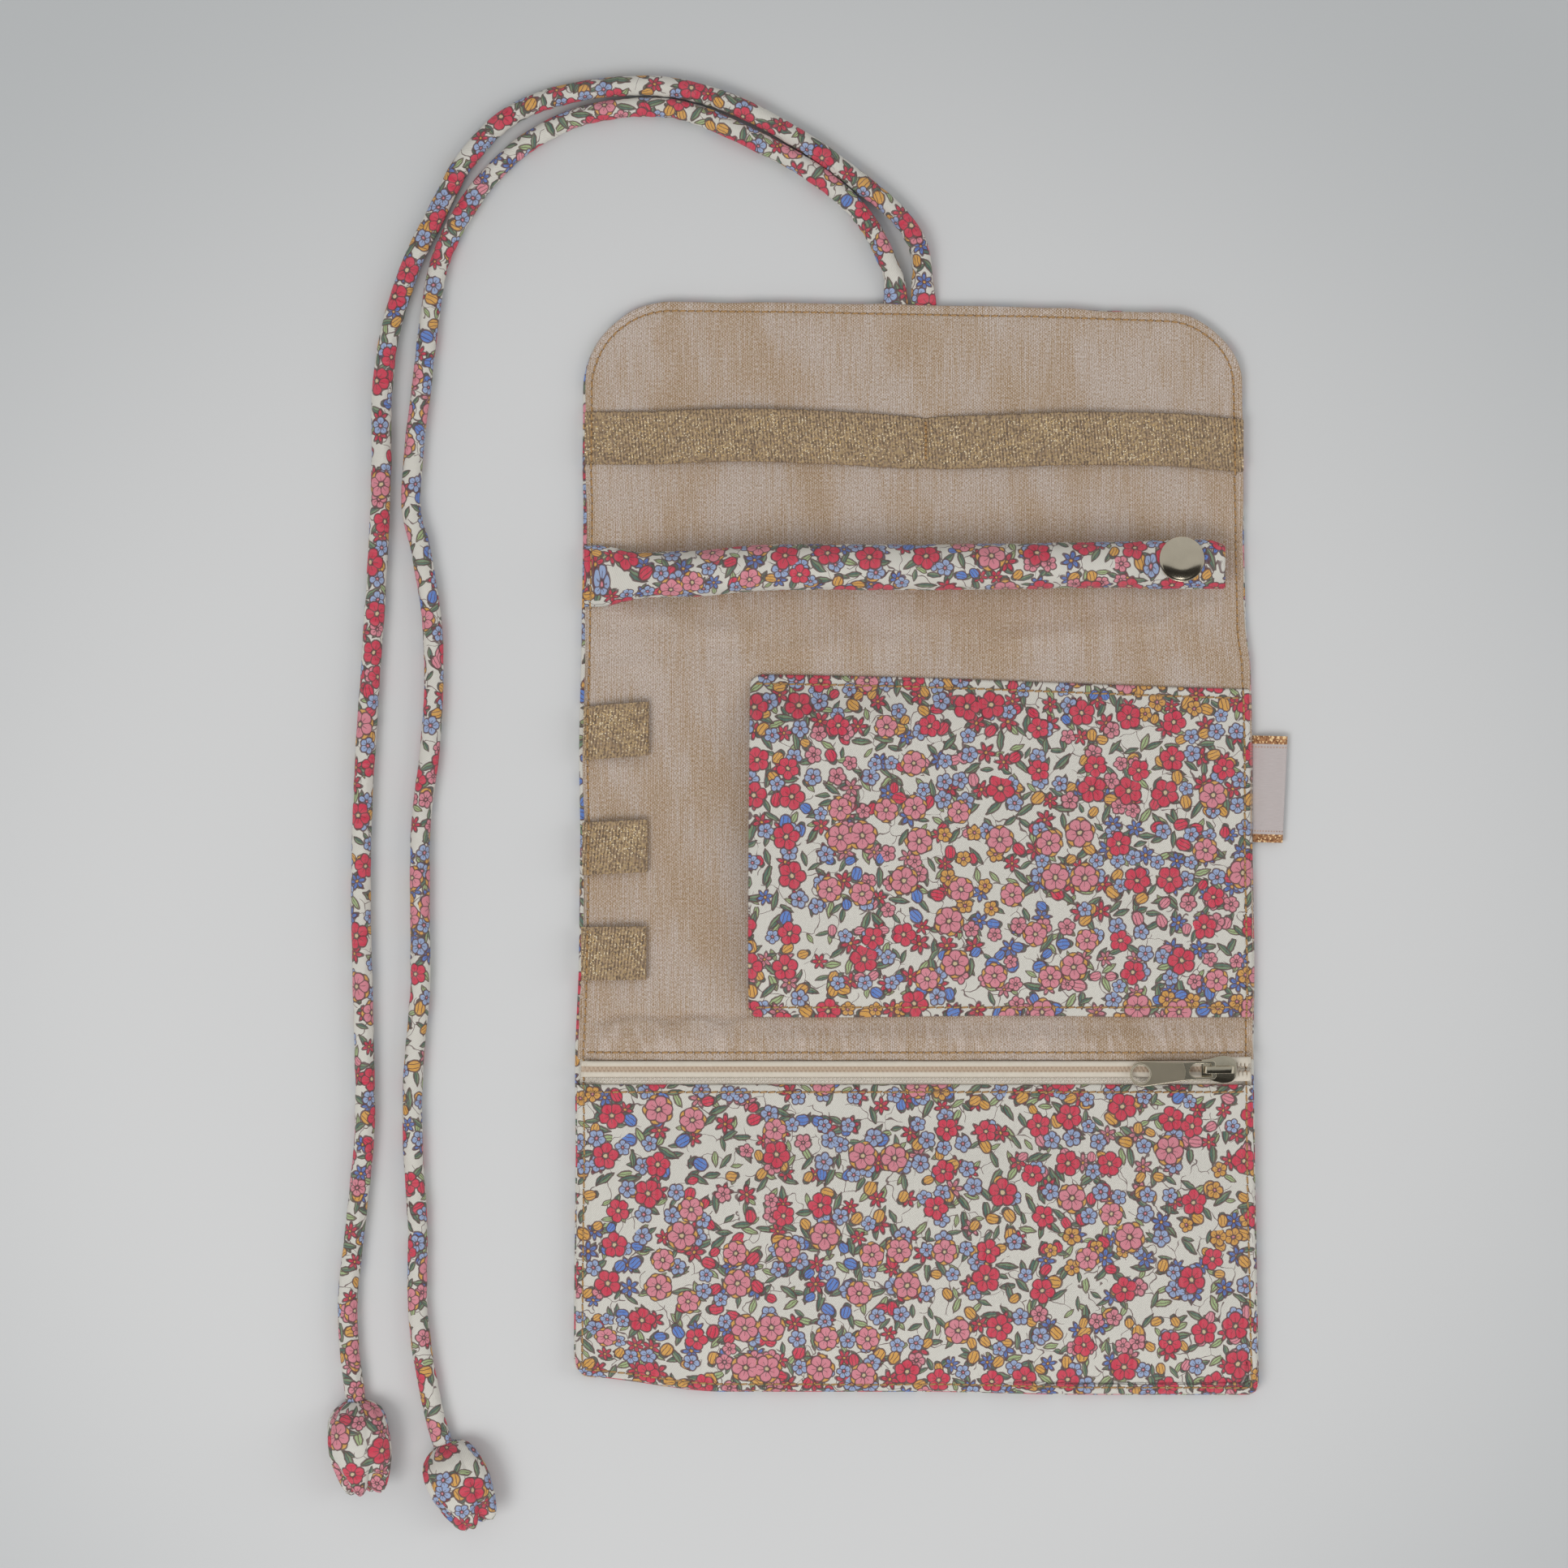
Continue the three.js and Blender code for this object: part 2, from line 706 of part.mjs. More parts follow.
// Slider seen from above: a narrow heel on the closed side, shoulders, and a nose on the open side
function sliderOutline() {
  const shoulderX = sliderX + sliderLength * 0.62;
  const noseX = sliderX + sliderLength;
  const shape = new THREE.Shape();
  shape.moveTo(sliderX, zipY - sliderHeelHalfWidth + capBevel);
  shape.quadraticCurveTo(
    sliderX, zipY - sliderHeelHalfWidth, sliderX + capBevel, zipY - sliderHeelHalfWidth);
  shape.bezierCurveTo(
    sliderX + sliderLength * 0.3, zipY - sliderHeelHalfWidth,
    sliderX + sliderLength * 0.4, zipY - sliderHalfWidth,
    shoulderX, zipY - sliderHalfWidth);
  shape.bezierCurveTo(
    noseX - capBevel, zipY - sliderHalfWidth,
    noseX, zipY - sliderNoseHalfWidth,
    noseX, zipY);
  shape.bezierCurveTo(
    noseX, zipY + sliderNoseHalfWidth,
    noseX - capBevel, zipY + sliderHalfWidth,
    shoulderX, zipY + sliderHalfWidth);
  shape.bezierCurveTo(
    sliderX + sliderLength * 0.4, zipY + sliderHalfWidth,
    sliderX + sliderLength * 0.3, zipY + sliderHeelHalfWidth,
    sliderX + capBevel, zipY + sliderHeelHalfWidth);
  shape.quadraticCurveTo(
    sliderX, zipY + sliderHeelHalfWidth, sliderX, zipY + sliderHeelHalfWidth - capBevel);
  return shape;
}

// The channel that the two rows of teeth run through
function channelShape() {
  const from = sliderX - sliderClearance;
  const to = sliderX + sliderLength + sliderClearance;
  const steps = Array.from({ length: 9 }, (_, i) => THREE.MathUtils.lerp(from, to, i / 8));
  const halfAt = (x) => coilHalfWidth + sliderClearance + rowShift(x + spreadLength / 8);
  const upper = steps.map((x) => new THREE.Vector2(x, zipY + halfAt(x)));
  const lower = steps.toReversed().map((x) => new THREE.Vector2(x, zipY - halfAt(x)));
  return new THREE.Shape([...upper, ...lower]);
}

const sliderRoofZ = coilZ + coilHeight + sliderClearance;
const sliderTop = sliderRoofZ + sliderPlate;
const bridgeTop = sliderTop + bridgeInnerHeight + bridgeCrown;

// The bridge over the slider, which the pull hangs from
function bridgeGeometry() {
  const left = sliderX + bridgeStart;
  const right = left + bridgeLength;
  const round = bridgeInnerHeight * 0.8;
  const foot = sliderTop - sliderPlate / 2;
  const innerRound = round - bridgeCrown / 2;
  const innerTop = sliderTop + bridgeInnerHeight;
  const shape = new THREE.Shape();
  shape.moveTo(left, foot);
  shape.lineTo(left + bridgeLeg, foot);
  shape.lineTo(left + bridgeLeg, innerTop - innerRound);
  shape.absarc(left + bridgeLeg + innerRound, innerTop - innerRound, innerRound, Math.PI, Math.PI / 2, true);
  shape.absarc(right - bridgeLeg - innerRound, innerTop - innerRound, innerRound, Math.PI / 2, 0, true);
  shape.lineTo(right - bridgeLeg, foot);
  shape.lineTo(right, foot);
  shape.lineTo(right, bridgeTop - round);
  shape.absarc(right - round, bridgeTop - round, round, 0, Math.PI / 2);
  shape.absarc(left + round, bridgeTop - round, round, Math.PI / 2, Math.PI);
  return sidewaysPlate(shape, zipY, bridgeWidth);
}

function sliderGeometry() {
  const outline = sliderOutline();
  const flangeZ = tapeTop + sliderClearance;
  const bottomZ = tapeHeight - sliderClearance - sliderPlate;
  const flanges = cut(
    plate(outline, flangeZ, sliderRoofZ - flangeZ + sliderPlate / 2),
    plate(channelShape(), flangeZ - sliderPlate, sliderRoofZ - flangeZ + sliderPlate),
  );
  const wedge = new THREE.Shape();
  wedge.moveTo(sliderX + postStart, zipY);
  wedge.lineTo(sliderX + postStart + postHalfWidth * 2, zipY - postHalfWidth);
  wedge.lineTo(sliderX + postEnd, zipY - postHalfWidth);
  wedge.lineTo(sliderX + postEnd, zipY + postHalfWidth);
  wedge.lineTo(sliderX + postStart + postHalfWidth * 2, zipY + postHalfWidth);
  const postBottom = bottomZ + sliderPlate / 2;
  return join(
    plate(outline, sliderRoofZ, sliderPlate),
    flanges,
    plate(wedge, postBottom, sliderRoofZ + sliderPlate / 2 - postBottom),
    plate(outline, bottomZ, sliderPlate),
    bridgeGeometry(),
  );
}

// The pull, drawn with its bar at the origin and its head to the left
function pullGeometry() {
  const headX = -pullLength;
  const shape = new THREE.Shape();
  shape.moveTo(pullBar, -pullNeckHalfWidth + capBevel);
  shape.lineTo(pullBar, pullNeckHalfWidth - capBevel);
  shape.quadraticCurveTo(pullBar, pullNeckHalfWidth, pullBar - capBevel, pullNeckHalfWidth);
  shape.lineTo(-pullNeckLength, pullNeckHalfWidth);
  shape.absarc(headX + pullHeadHalfWidth, 0, pullHeadHalfWidth, Math.PI / 2, Math.PI * 1.5);
  shape.lineTo(-pullNeckLength, -pullNeckHalfWidth);
  shape.lineTo(pullBar - capBevel, -pullNeckHalfWidth);
  shape.quadraticCurveTo(pullBar, -pullNeckHalfWidth, pullBar, -pullNeckHalfWidth + capBevel);
  const hole = new THREE.Path();
  hole.absarc(headX + pullHoleFromEnd, 0, pullHoleRadius, 0, Math.PI * 2);
  const slot = new THREE.Path();
  slot.moveTo(-pullBar, -pullSlotHalfWidth);
  slot.lineTo(-pullBar, pullSlotHalfWidth);
  slot.lineTo(-pullSlotReach + pullSlotHalfWidth, pullSlotHalfWidth);
  slot.absarc(-pullSlotReach + pullSlotHalfWidth, 0, pullSlotHalfWidth, Math.PI / 2, Math.PI * 1.5);
  shape.holes.push(hole, slot);
  return plate(shape, -pullThickness / 2, pullThickness, 12);
}

// Tie cords: points chosen by hand along the two routes, from the flap's seam to the tips
const rightCordRoute = [
  [2.4, 159.3], [2.0, 165.5], [1.7, 171.4], [0.3, 177.2], [-2.9, 182.6], [-8.4, 188.4],
  [-15.6, 194.2], [-23.3, 200.1], [-31.2, 205.7], [-39.4, 210.6], [-47.6, 215.0],
  [-58.0, 219.4], [-69.5, 222.3], [-79.4, 223.2], [-88.9, 222.8], [-98.3, 221.5],
  [-107.8, 219.2], [-116.0, 215.8], [-123.0, 211.0], [-128.9, 204.8], [-133.7, 198.4],
  [-137.7, 191.0], [-141.4, 183.6], [-145.2, 176.3], [-149.7, 165.2], [-153.9, 150.8],
  [-156.2, 133.5], [-156.4, 113.3], [-157.4, 86.4], [-158.9, 62.1], [-160.5, 37.9],
  [-162.0, 10.0], [-162.4, -16.2], [-161.6, -53.0], [-161.3, -82.0], [-164.0, -110.2],
  [-166.2, -131.0], [-165.8, -146.0], [-164.0, -161.6],
];
const leftCordRoute = [
  [-5.8, 159.3], [-6.4, 166.5], [-9.1, 173.6], [-12.8, 181.0], [-17.2, 186.9],
  [-23.4, 192.8], [-30.4, 198.0], [-38.0, 202.6], [-47.2, 207.3], [-55.0, 211.0],
  [-62.6, 214.2], [-70.6, 216.4], [-79.4, 217.0], [-88.9, 216.2], [-98.2, 214.2],
  [-106.0, 211.0], [-114.1, 206.2], [-120.9, 200.5], [-127.2, 193.6], [-132.3, 186.2],
  [-136.4, 178.6], [-139.6, 170.5], [-142.2, 156.5], [-144.2, 139.2], [-147.2, 113.3],
  [-147.6, 98.8], [-144.8, 86.4], [-141.9, 68.2], [-141.1, 50.0], [-142.3, 28.7],
  [-144.8, 8.1], [-145.2, -16.2], [-145.1, -40.5], [-147.2, -66.7], [-147.2, -87.0],
  [-145.9, -110.0], [-145.7, -136.0], [-143.6, -152.8], [-140.6, -167.0], [-138.5, -174.4],
];

function cordCurve(route) {
  const height = cordRadius * Math.cos(Math.PI / cordSides);
  return new THREE.CatmullRomCurve3(route.map(([x, y]) => new THREE.Vector3(x, y, height)), false, 'centripetal');
}

// A cord lies on the surface on one of its flats
function cordGeometry(route) {
  const section = new THREE.Shape(Array.from({ length: cordSides }, (_, i) => {
    const angle = (2 * Math.PI * (i + 0.5)) / cordSides;
    return new THREE.Vector2(cordRadius * Math.cos(angle), cordRadius * Math.sin(angle));
  }));
  return new THREE.ExtrudeGeometry(section, { steps: cordSteps, extrudePath: cordCurve(route) });
}

// A stuffed tulip: round at its neck, full at its middle, parted into petals at its mouth
function tipGeometry(route) {
  const curve = cordCurve(route);
  const start = curve.getPoint(1);
  const way = curve.getTangent(1).normalize();
  const sideways = new THREE.Vector3(-way.y, way.x, 0);
  const profile = [
    [0, 0.34], [0.06, 0.55], [0.16, 0.8], [0.32, 0.97], [0.5, 1], [0.68, 0.94], [0.84, 0.8], [0.95, 0.62], [1, 0.42],
  ];
  const rings = profile.map(([share, size]) => {
    const centre = start.clone().addScaledVector(way, layerGap + share * tipLength);
    const petals = tipPetalDepth * ease((share - 0.5) / 0.5);
    return Array.from({ length: tipSides }, (_, i) => {
      const angle = (2 * Math.PI * i) / tipSides;
      const swell = size * (1 - petals * (1 + Math.cos(tipPetals * angle)) / 2);
      const across = tipHalfWidth * swell * Math.cos(angle);
      const height = tipHalfHeight * (size + swell * Math.sin(angle));
      return [centre.x + sideways.x * across, centre.y + sideways.y * across, height];
    });
  });
  return skin(rings);
}

function piece(name, geometry, finish) {
  const mesh = new THREE.Mesh(geometry, new THREE.MeshStandardMaterial(finish));
  mesh.name = name;
  return mesh;
}

function body(...pieces) {
  const group = new THREE.Group();
  group.add(...pieces);
  return group;
}

const snapHole = upright(rivetPostRadius + snapClearance, waddingZ, seatZ, snapX, snapY);
const rivetSeat = upright(rivetRadius + snapClearance, shellThickness, liningZ, snapX, snapY);

const flap = body(
  piece('shell_flap', shellOf(upperFoldY, topY), fabricPrint),
  piece('wadding_flap', cut(waddingOf(upperFoldY, topY), rivetSeat), waddingFibre),
  piece('lining_flap', cut(liningOf(upperFoldY, topY), snapHole), liningCloth),
  piece('earring_band', bandGeometry(), glitterRibbon),
  piece('band_tack', tackGeometry(), thread),
  piece('snap_stud', studGeometry(), nickel),
  piece('snap_stud_rivet', rivetGeometry(), nickel),
  piece('tie_cord_right', cordGeometry(rightCordRoute), fabricPrint),
  piece('tie_cord_left', cordGeometry(leftCordRoute), fabricPrint),
  piece('tulip_tip_right', tipGeometry(rightCordRoute), fabricPrint),
  piece('tulip_tip_left', tipGeometry(leftCordRoute), fabricPrint),
);

const ringRoll = body(
  piece('ring_roll_cover', rollCoverGeometry(), fabricPrint),
  piece('ring_roll_filling', rollFillingGeometry(), waddingFibre),
  piece('snap_cap', capGeometry(), nickel),
  piece('snap_socket', socketGeometry(), nickel),
);

const middle = body(
  piece('shell_middle', shellOf(lowerFoldY, upperFoldY), fabricPrint),
  piece('wadding_middle', waddingOf(lowerFoldY, upperFoldY), waddingFibre),
  piece('lining_middle', liningOf(lowerFoldY, upperFoldY), liningCloth),
  ...loopDrops.map((drop, i) => piece(`earring_loop_${i + 1}`, loopGeometry(drop, loopWidths[i]), glitterRibbon)),
  piece('patch_pocket', patchGeometry(), fabricPrint),
  piece('side_label', labelGeometry(), satin),
);

const pocket = body(
  piece('shell_pocket', shellOf(baseY, lowerFoldY), fabricPrint),
  piece('wadding_pocket', waddingOf(baseY, lowerFoldY), waddingFibre),
  piece('lining_pocket', liningOf(baseY, lowerFoldY), liningCloth),
  piece('zip_facing', facingGeometry(), liningCloth),
  piece('pocket_front_lining', frontLiningGeometry(), liningCloth),
  piece('pocket_front', frontGeometry(), fabricPrint),
  piece('zip_tape_upper', tapeGeometry(1), zipCloth),
  piece('zip_tape_lower', tapeGeometry(-1), zipCloth),
  piece('zip_teeth_upper', coilGeometry(1), zipNylon),
  piece('zip_teeth_lower', coilGeometry(-1), zipNylon),
);

const slider = body(piece('zip_slider', sliderGeometry(), nickel));

// The pull's bar turns under the bridge
const pullBarRadius = Math.hypot(pullBar, pullThickness / 2);
const pull = piece('zip_pull', pullGeometry().rotateY(pullDroop).rotateZ(pullYaw), nickel);
pull.position.set(sliderX + pullAxis, zipY, sliderTop + pullBarRadius + sliderClearance / 2);

const pouch = new THREE.Group();
pouch.name = 'jewelry_pouch';
pouch.add(flap, ringRoll, middle, pocket, slider, body(pull));

export default pouch;
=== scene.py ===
import json
import math

import bmesh
import bpy
import numpy as np
from mathutils import Matrix, Vector
from mathutils.bvhtree import BVHTree


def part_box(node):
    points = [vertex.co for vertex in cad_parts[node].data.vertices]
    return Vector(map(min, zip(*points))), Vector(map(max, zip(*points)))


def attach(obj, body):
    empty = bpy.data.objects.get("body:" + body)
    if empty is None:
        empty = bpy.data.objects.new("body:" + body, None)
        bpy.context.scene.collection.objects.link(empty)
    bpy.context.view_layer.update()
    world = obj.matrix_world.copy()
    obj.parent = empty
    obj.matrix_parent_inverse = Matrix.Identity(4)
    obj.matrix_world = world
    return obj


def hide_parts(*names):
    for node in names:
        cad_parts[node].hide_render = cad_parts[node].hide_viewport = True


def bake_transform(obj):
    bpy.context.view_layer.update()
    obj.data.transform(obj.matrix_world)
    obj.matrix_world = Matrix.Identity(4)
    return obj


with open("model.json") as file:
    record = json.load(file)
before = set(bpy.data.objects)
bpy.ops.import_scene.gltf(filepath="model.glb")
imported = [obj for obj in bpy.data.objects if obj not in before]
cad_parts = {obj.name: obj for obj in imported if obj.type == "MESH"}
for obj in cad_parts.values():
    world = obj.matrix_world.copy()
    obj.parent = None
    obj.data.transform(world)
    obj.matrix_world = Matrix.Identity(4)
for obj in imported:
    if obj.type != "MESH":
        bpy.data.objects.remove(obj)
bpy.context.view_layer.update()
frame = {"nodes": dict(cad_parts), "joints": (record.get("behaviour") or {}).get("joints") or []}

# Millimetres are used for every shape, and metres only where a mesh is made
MM = 0.001
TURN = 2 * math.pi
UV_NAME = "Cloth"


def box(node):
    low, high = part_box(node)
    return np.array(low) / MM, np.array(high) / MM


# Measures of the open pouch: those of its pieces come from the frame, the others from the photograph
TOP = box("shell_flap")[1][1]
BASE = box("shell_pocket")[0][1]
FOLD_GAP = 0.3
UPPER_FOLD = box("shell_flap")[0][1] - FOLD_GAP / 2
LOWER_FOLD = box("shell_pocket")[1][1] + FOLD_GAP / 2
HALF_BASE = box("shell_pocket")[1][0]
HALF_FOLD = box("shell_flap")[1][0]
ZIP_Y = (box("zip_tape_upper")[0][1] + box("zip_tape_lower")[1][1]) / 2
CUT = (UPPER_FOLD + LOWER_FOLD) / 2
TOP_CORNERS = (26.0, 22.0)
BASE_CORNERS = (3.0, 4.5)
TOP_RISE = 0.6
TOP_FALL = 3.2
CORNER_LIFT = 4.4
CORNER_DROP = 0.9
FLAP_PULL = (0.5, 1.2)
FACING_EDGE = box("zip_facing")[0][1] - 1.4
FRONT_EDGE = box("pocket_front")[1][1] + 0.1
HEM_DEPTH = 3.0

# Each fold: the panel below it, the panel above it, and the heights between which the cloth crosses it.
# The lower panel comes first, because a half turn then goes round the outside of the fold.
UPPER_BEND = ("middle", "flap", UPPER_FOLD - 16, UPPER_FOLD + 11)
LOWER_BEND = ("pocket", "middle", LOWER_FOLD - 10, LOWER_FOLD + 1.4)

# Seams
RIM = 3.4
STITCH_INSET = 2.3
STITCH_PITCH = 2.4
THREAD_RADIUS = 0.27
PUCKER_INSET = 4.5
PUCKER_REACH = 3.5
TURNED_IN = 4

# Thickness of each cloth
SHELL_CLOTH = 0.3
LINING_CLOTH = 0.35
FRONT_CLOTH = 0.4
PATCH_CLOTH = 0.95
BAND_CLOTH = 0.55
LOOP_CLOTH = 0.5
LABEL_CLOTH = 0.22
TAPE_CLOTH = 0.45

# Heights above the surface that the pouch lies on
SHELL_UNDER = 0.12
LINING_TOP = 3.05
FACING_TOP = 5.75
FRONT_TOP = 4.75
FRONT_FULL = 3.75
FRONT_LINING_UNDER = 1.3
BACK_LINING_UNDER = 0.15


def ease(t):
    held = np.clip(t, 0, 1)
    return held * held * (3 - 2 * held)


def mix(a, b, t):
    return a + (b - a) * t


def bell(offset, width):
    """1 where the offset is 0, and softly down to 0 on both sides"""
    return np.exp(-((offset / width) ** 2))


def distances(points):
    """How far along its line each point lies"""
    return np.concatenate([[0], np.cumsum(np.linalg.norm(np.diff(points, axis=0), axis=1))])


def sampled(at, length, points):
    """Points at the given distances along a line"""
    return [np.interp(at, length, column) for column in points.T]


def grid(*columns):
    return np.dstack(np.broadcast_arrays(*columns))


def soft_noise(x, y, seed):
    """Smooth noise from -1 to 1 whose waves are about one unit wide"""
    x, y = np.broadcast_arrays(np.asarray(x, float), np.asarray(y, float))
    left, low = np.floor(x), np.floor(y)

    def corner(i, j):
        value = np.sin(i * 127.1 + j * 311.7 + seed * 74.7) * 43758.5453
        return 2 * (value - np.floor(value)) - 1

    u, v = ease(x - left), ease(y - low)
    lower = mix(corner(left, low), corner(left + 1, low), u)
    upper = mix(corner(left, low + 1), corner(left + 1, low + 1), u)
    return mix(lower, upper, v)


def rough_noise(x, y, seed):
    return 0.65 * soft_noise(x, y, seed) + 0.35 * soft_noise(2.1 * x, 2.1 * y, seed + 9)


def half_width(y):
    return mix(HALF_BASE, HALF_FOLD, (y - BASE) / (UPPER_FOLD - BASE))


def as_sewn(points):
    """The pouch isn't quite square: its top slopes, its lower corners differ and its sides wander"""
    moved = np.array(points, float)
    x, y = moved[..., 0].copy(), moved[..., 1].copy()
    share = (x + HALF_FOLD) / (2 * HALF_FOLD)
    moved[..., 1] += mix(TOP_RISE, -TOP_FALL, share**2) * ease((y - TOP + 45) / 45)
    low = ease((BASE + 30 - y) / 30)
    moved[..., 1] += (CORNER_LIFT * ease((-x - 56) / 43) - CORNER_DROP * ease(x / 50)) * low
    moved[..., 0] -= FLAP_PULL[0] * ease((-x - 40) / 50) * ease((y - 98) / 16)
    moved[..., 0] -= FLAP_PULL[1] * ease((x - 40) / 50) * ease((y - 52) / 14)
    near_side = ease((np.abs(x) - half_width(y) + 26) / 26)
    moved[..., 0] += 0.4 * soft_noise(y / 31, np.sign(x) * 3.0, 121) * near_side
    return moved


def steps(count):
    return np.linspace(0, 1, count + 1)


def close_ends(count):
    """Steps from 0 to 1 that lie closer together at both ends"""
    return (1 - np.cos(np.pi * steps(count))) / 2


# Meshes
def add_object(name, data):
    made = bpy.data.objects.new(name, data)
    bpy.context.scene.collection.objects.link(made)
    return made


def sharpen(piece, degrees):
    """Keeps the edges crisp that turn by more than this"""
    piece.modifiers.new("sharp", "EDGE_SPLIT").split_angle = math.radians(degrees)


def make_piece(name, patches, upward=False, sewn=False):
    """A smooth mesh from grids of points, each with its place on the cloth, welded where they meet"""
    mesh = bmesh.new()
    layer = mesh.loops.layers.uv.new(UV_NAME)
    for points, places in patches:
        rows, columns = points.shape[:2]
        points = as_sewn(points) if sewn else points
        corners = [mesh.verts.new(p) for p in (points * MM).reshape(-1, 3)]
        flat = places.reshape(-1, 2)
        for r in range(rows - 1):
            for c in range(columns - 1):
                a = r * columns + c
                around = (a, a + 1, a + columns + 1, a + columns)
                face = mesh.faces.new([corners[i] for i in around])
                for loop, i in zip(face.loops, around):
                    loop[layer].uv = flat[i]
    bmesh.ops.remove_doubles(mesh, verts=mesh.verts, dist=2e-6)
    thin = [f for f in mesh.faces if f.calc_area() < 1e-12]
    bmesh.ops.delete(mesh, geom=thin, context="FACES")
    bmesh.ops.recalc_face_normals(mesh, faces=mesh.faces)
    if upward and sum(f.normal.z * f.calc_area() for f in mesh.faces) < 0:
        bmesh.ops.reverse_faces(mesh, faces=mesh.faces)
    data = bpy.data.meshes.new(name)
    mesh.to_mesh(data)
    mesh.free()
    data.shade_smooth()
    return add_object(name, data)


def thicken(piece, thickness, offset=-1):
    """Gives an open sheet its thickness, below its face, with crisp cut edges"""
    mesh = bmesh.new()
    mesh.from_mesh(piece.data)
    for edge in mesh.edges:
        edge.smooth = not edge.is_boundary
    mesh.to_mesh(piece.data)
    mesh.free()
    solid = piece.modifiers.new("thickness", "SOLIDIFY")
    solid.thickness = thickness * MM
    solid.offset = offset
    return piece


def dress(piece, material):
    piece.data.materials.clear()
    piece.data.materials.append(material)
    return piece


def bend(piece, zone):
    """Bakes a piece's place into its mesh"""
    below, above, start, end = zone
    start * MM
    end * MM
    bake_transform(piece)
    return piece


def placed(points, shift=(0, 0)):
    """Places on the cloth of points that lie flat"""
    return points[..., :2] + np.array(shift)


def lathe(name, profile, x, y, turns=96):
    """A turned piece: its profile is pairs of radius and height"""
    angle = TURN * steps(turns)
    radius, height = np.array(profile, float).T
    rings = np.stack([
        x + radius[:, None] * np.cos(angle),
        y + radius[:, None] * np.sin(angle),
        np.repeat(height[:, None], turns + 1, axis=1),
    ], axis=-1)
    return make_piece(name, [(rings, placed(rings))])


def end_cap(ring, places):
    """Closes the end of a tube"""
    return np.stack([ring, np.broadcast_to(ring[:-1].mean(axis=0), ring.shape)]), np.stack([places, places])


def closed_tube(rings, places):
    return [(rings, places), *(end_cap(rings[end], places[end]) for end in (0, -1))]


def slab(name, top, places, thickness, sewn=False):
    """A closed piece of cloth under a grid of top points, with rounded edges"""
    middle = top - np.array([0, 0, thickness / 2])
    under = top - np.array([0, 0, thickness])
    swell = 0.45 * thickness

    def loop(rows):
        return np.concatenate([rows[0], rows[1:, -1], rows[-1, -2::-1], rows[-2::-1, 0]])

    edge = loop(middle).copy()
    outward = np.concatenate([
        top[0] - top[1], top[1:, -1] - top[1:, -2],
        top[-1, -2::-1] - top[-2, -2::-1], top[-2::-1, 0] - top[-2::-1, 1],
    ])
    outward[:, 2] = 0
    edge += swell * outward / np.maximum(np.linalg.norm(outward, axis=1), 1e-9)[:, None]
    rim = np.stack([loop(top), edge, loop(under)])
    rim_places = np.stack([loop(places)] * 3)
    return make_piece(name, [(top, places), (under, places), (rim, rim_places)], sewn=sewn)


# Outlines of the panels
def unit(v):
    return v / np.linalg.norm(v)


def outline_run(corners, arc_steps=16):
    """Points and outward normals along straight runs and round corners. A corner is x, y and a radius."""
    points, normals, marks = [], [], []
    flat = [np.array(c[:2], float) for c in corners]
    for i, (_, _, radius) in enumerate(corners):
        here = flat[i]
        if i in (0, len(corners) - 1):
            way = unit(flat[i + 1] - here) if i == 0 else unit(here - flat[i - 1])
            points.append(here)
            normals.append(np.array([-way[1], way[0]]))
            continue
        before, after = unit(flat[i - 1] - here), unit(flat[i + 1] - here)
        half_angle = math.acos(before @ after) / 2
        centre = here + unit(before + after) * radius / math.sin(half_angle)
        first = here + before * radius / math.tan(half_angle) - centre
        sweep = math.pi - 2 * half_angle
        marks.append(len(points) + arc_steps // 2)
        for t in steps(arc_steps):
            c, s = math.cos(-sweep * t), math.sin(-sweep * t)
            spoke = np.array([first[0] * c - first[1] * s, first[0] * s + first[1] * c])
            points.append(centre + spoke)
            normals.append(spoke / radius)
    points, normals = np.array(points), np.array(normals)
    length = distances(points)
    return points, normals, length, [length[m] for m in marks]


def along(run, start, end, count):
    points, normals, length, _ = run
    at = mix(start, end, steps(count))
    found, outward = (np.stack(sampled(at, length, a), axis=-1) for a in (points, normals))
    return found, outward / np.linalg.norm(outward, axis=1)[:, None]


def rim_grid(base, outward, height, rim, shift=(0, 0)):
    """Rings from the edge of a panel's face out to its seam. rim is pairs of inset and drop."""
    rings, places = [], []
    gone = 0
    before = (RIM, 0)
    for inset, drop in [(RIM, 0), *rim]:
        inset = inset(base) if callable(inset) else np.full(len(base), float(inset))
        here = (float(np.mean(inset)), drop)
        gone += math.dist(here, before)
        before = here
        ring = base - outward * inset[:, None]
        rings.append(np.column_stack([ring, height(*ring.T) + drop]))
        places.append(base + outward * (gone - RIM) + np.array(shift))
    return np.array(rings), np.array(places)


def panel(corners, rows, columns, height, rim, shift=(0, 0)):
    """Grids for a panel with a rim on three sides, whose face has height(x, y)"""
    run = outline_run(corners)
    length, marks = run[2], run[3]
    sides = [
        along(run, 0, marks[0], rows),
        along(run, marks[0], marks[1], columns),
        along(run, marks[1], length[-1], rows),
    ]
    first, far, second = [points - RIM * normals for points, normals in sides]
    second = second[::-1]
    near = mix(first[0], second[0], steps(columns)[:, None])
    u, v = steps(columns)[None, :, None], steps(rows)[:, None, None]
    flat = (
        mix(near[None], far[None], v) + mix(first[:, None], second[:, None], u)
        - mix(mix(first[0], second[0], u), mix(first[-1], second[-1], u), v)
    )
    face = np.dstack([flat, height(flat[..., 0], flat[..., 1])])
    base = np.concatenate([sides[0][0], sides[1][0][1:], sides[2][0][1:]])
    outward = np.concatenate([sides[0][1], sides[1][1][1:], sides[2][1][1:]])
    return [(face, placed(flat, shift)), rim_grid(base, outward, height, rim, shift)]


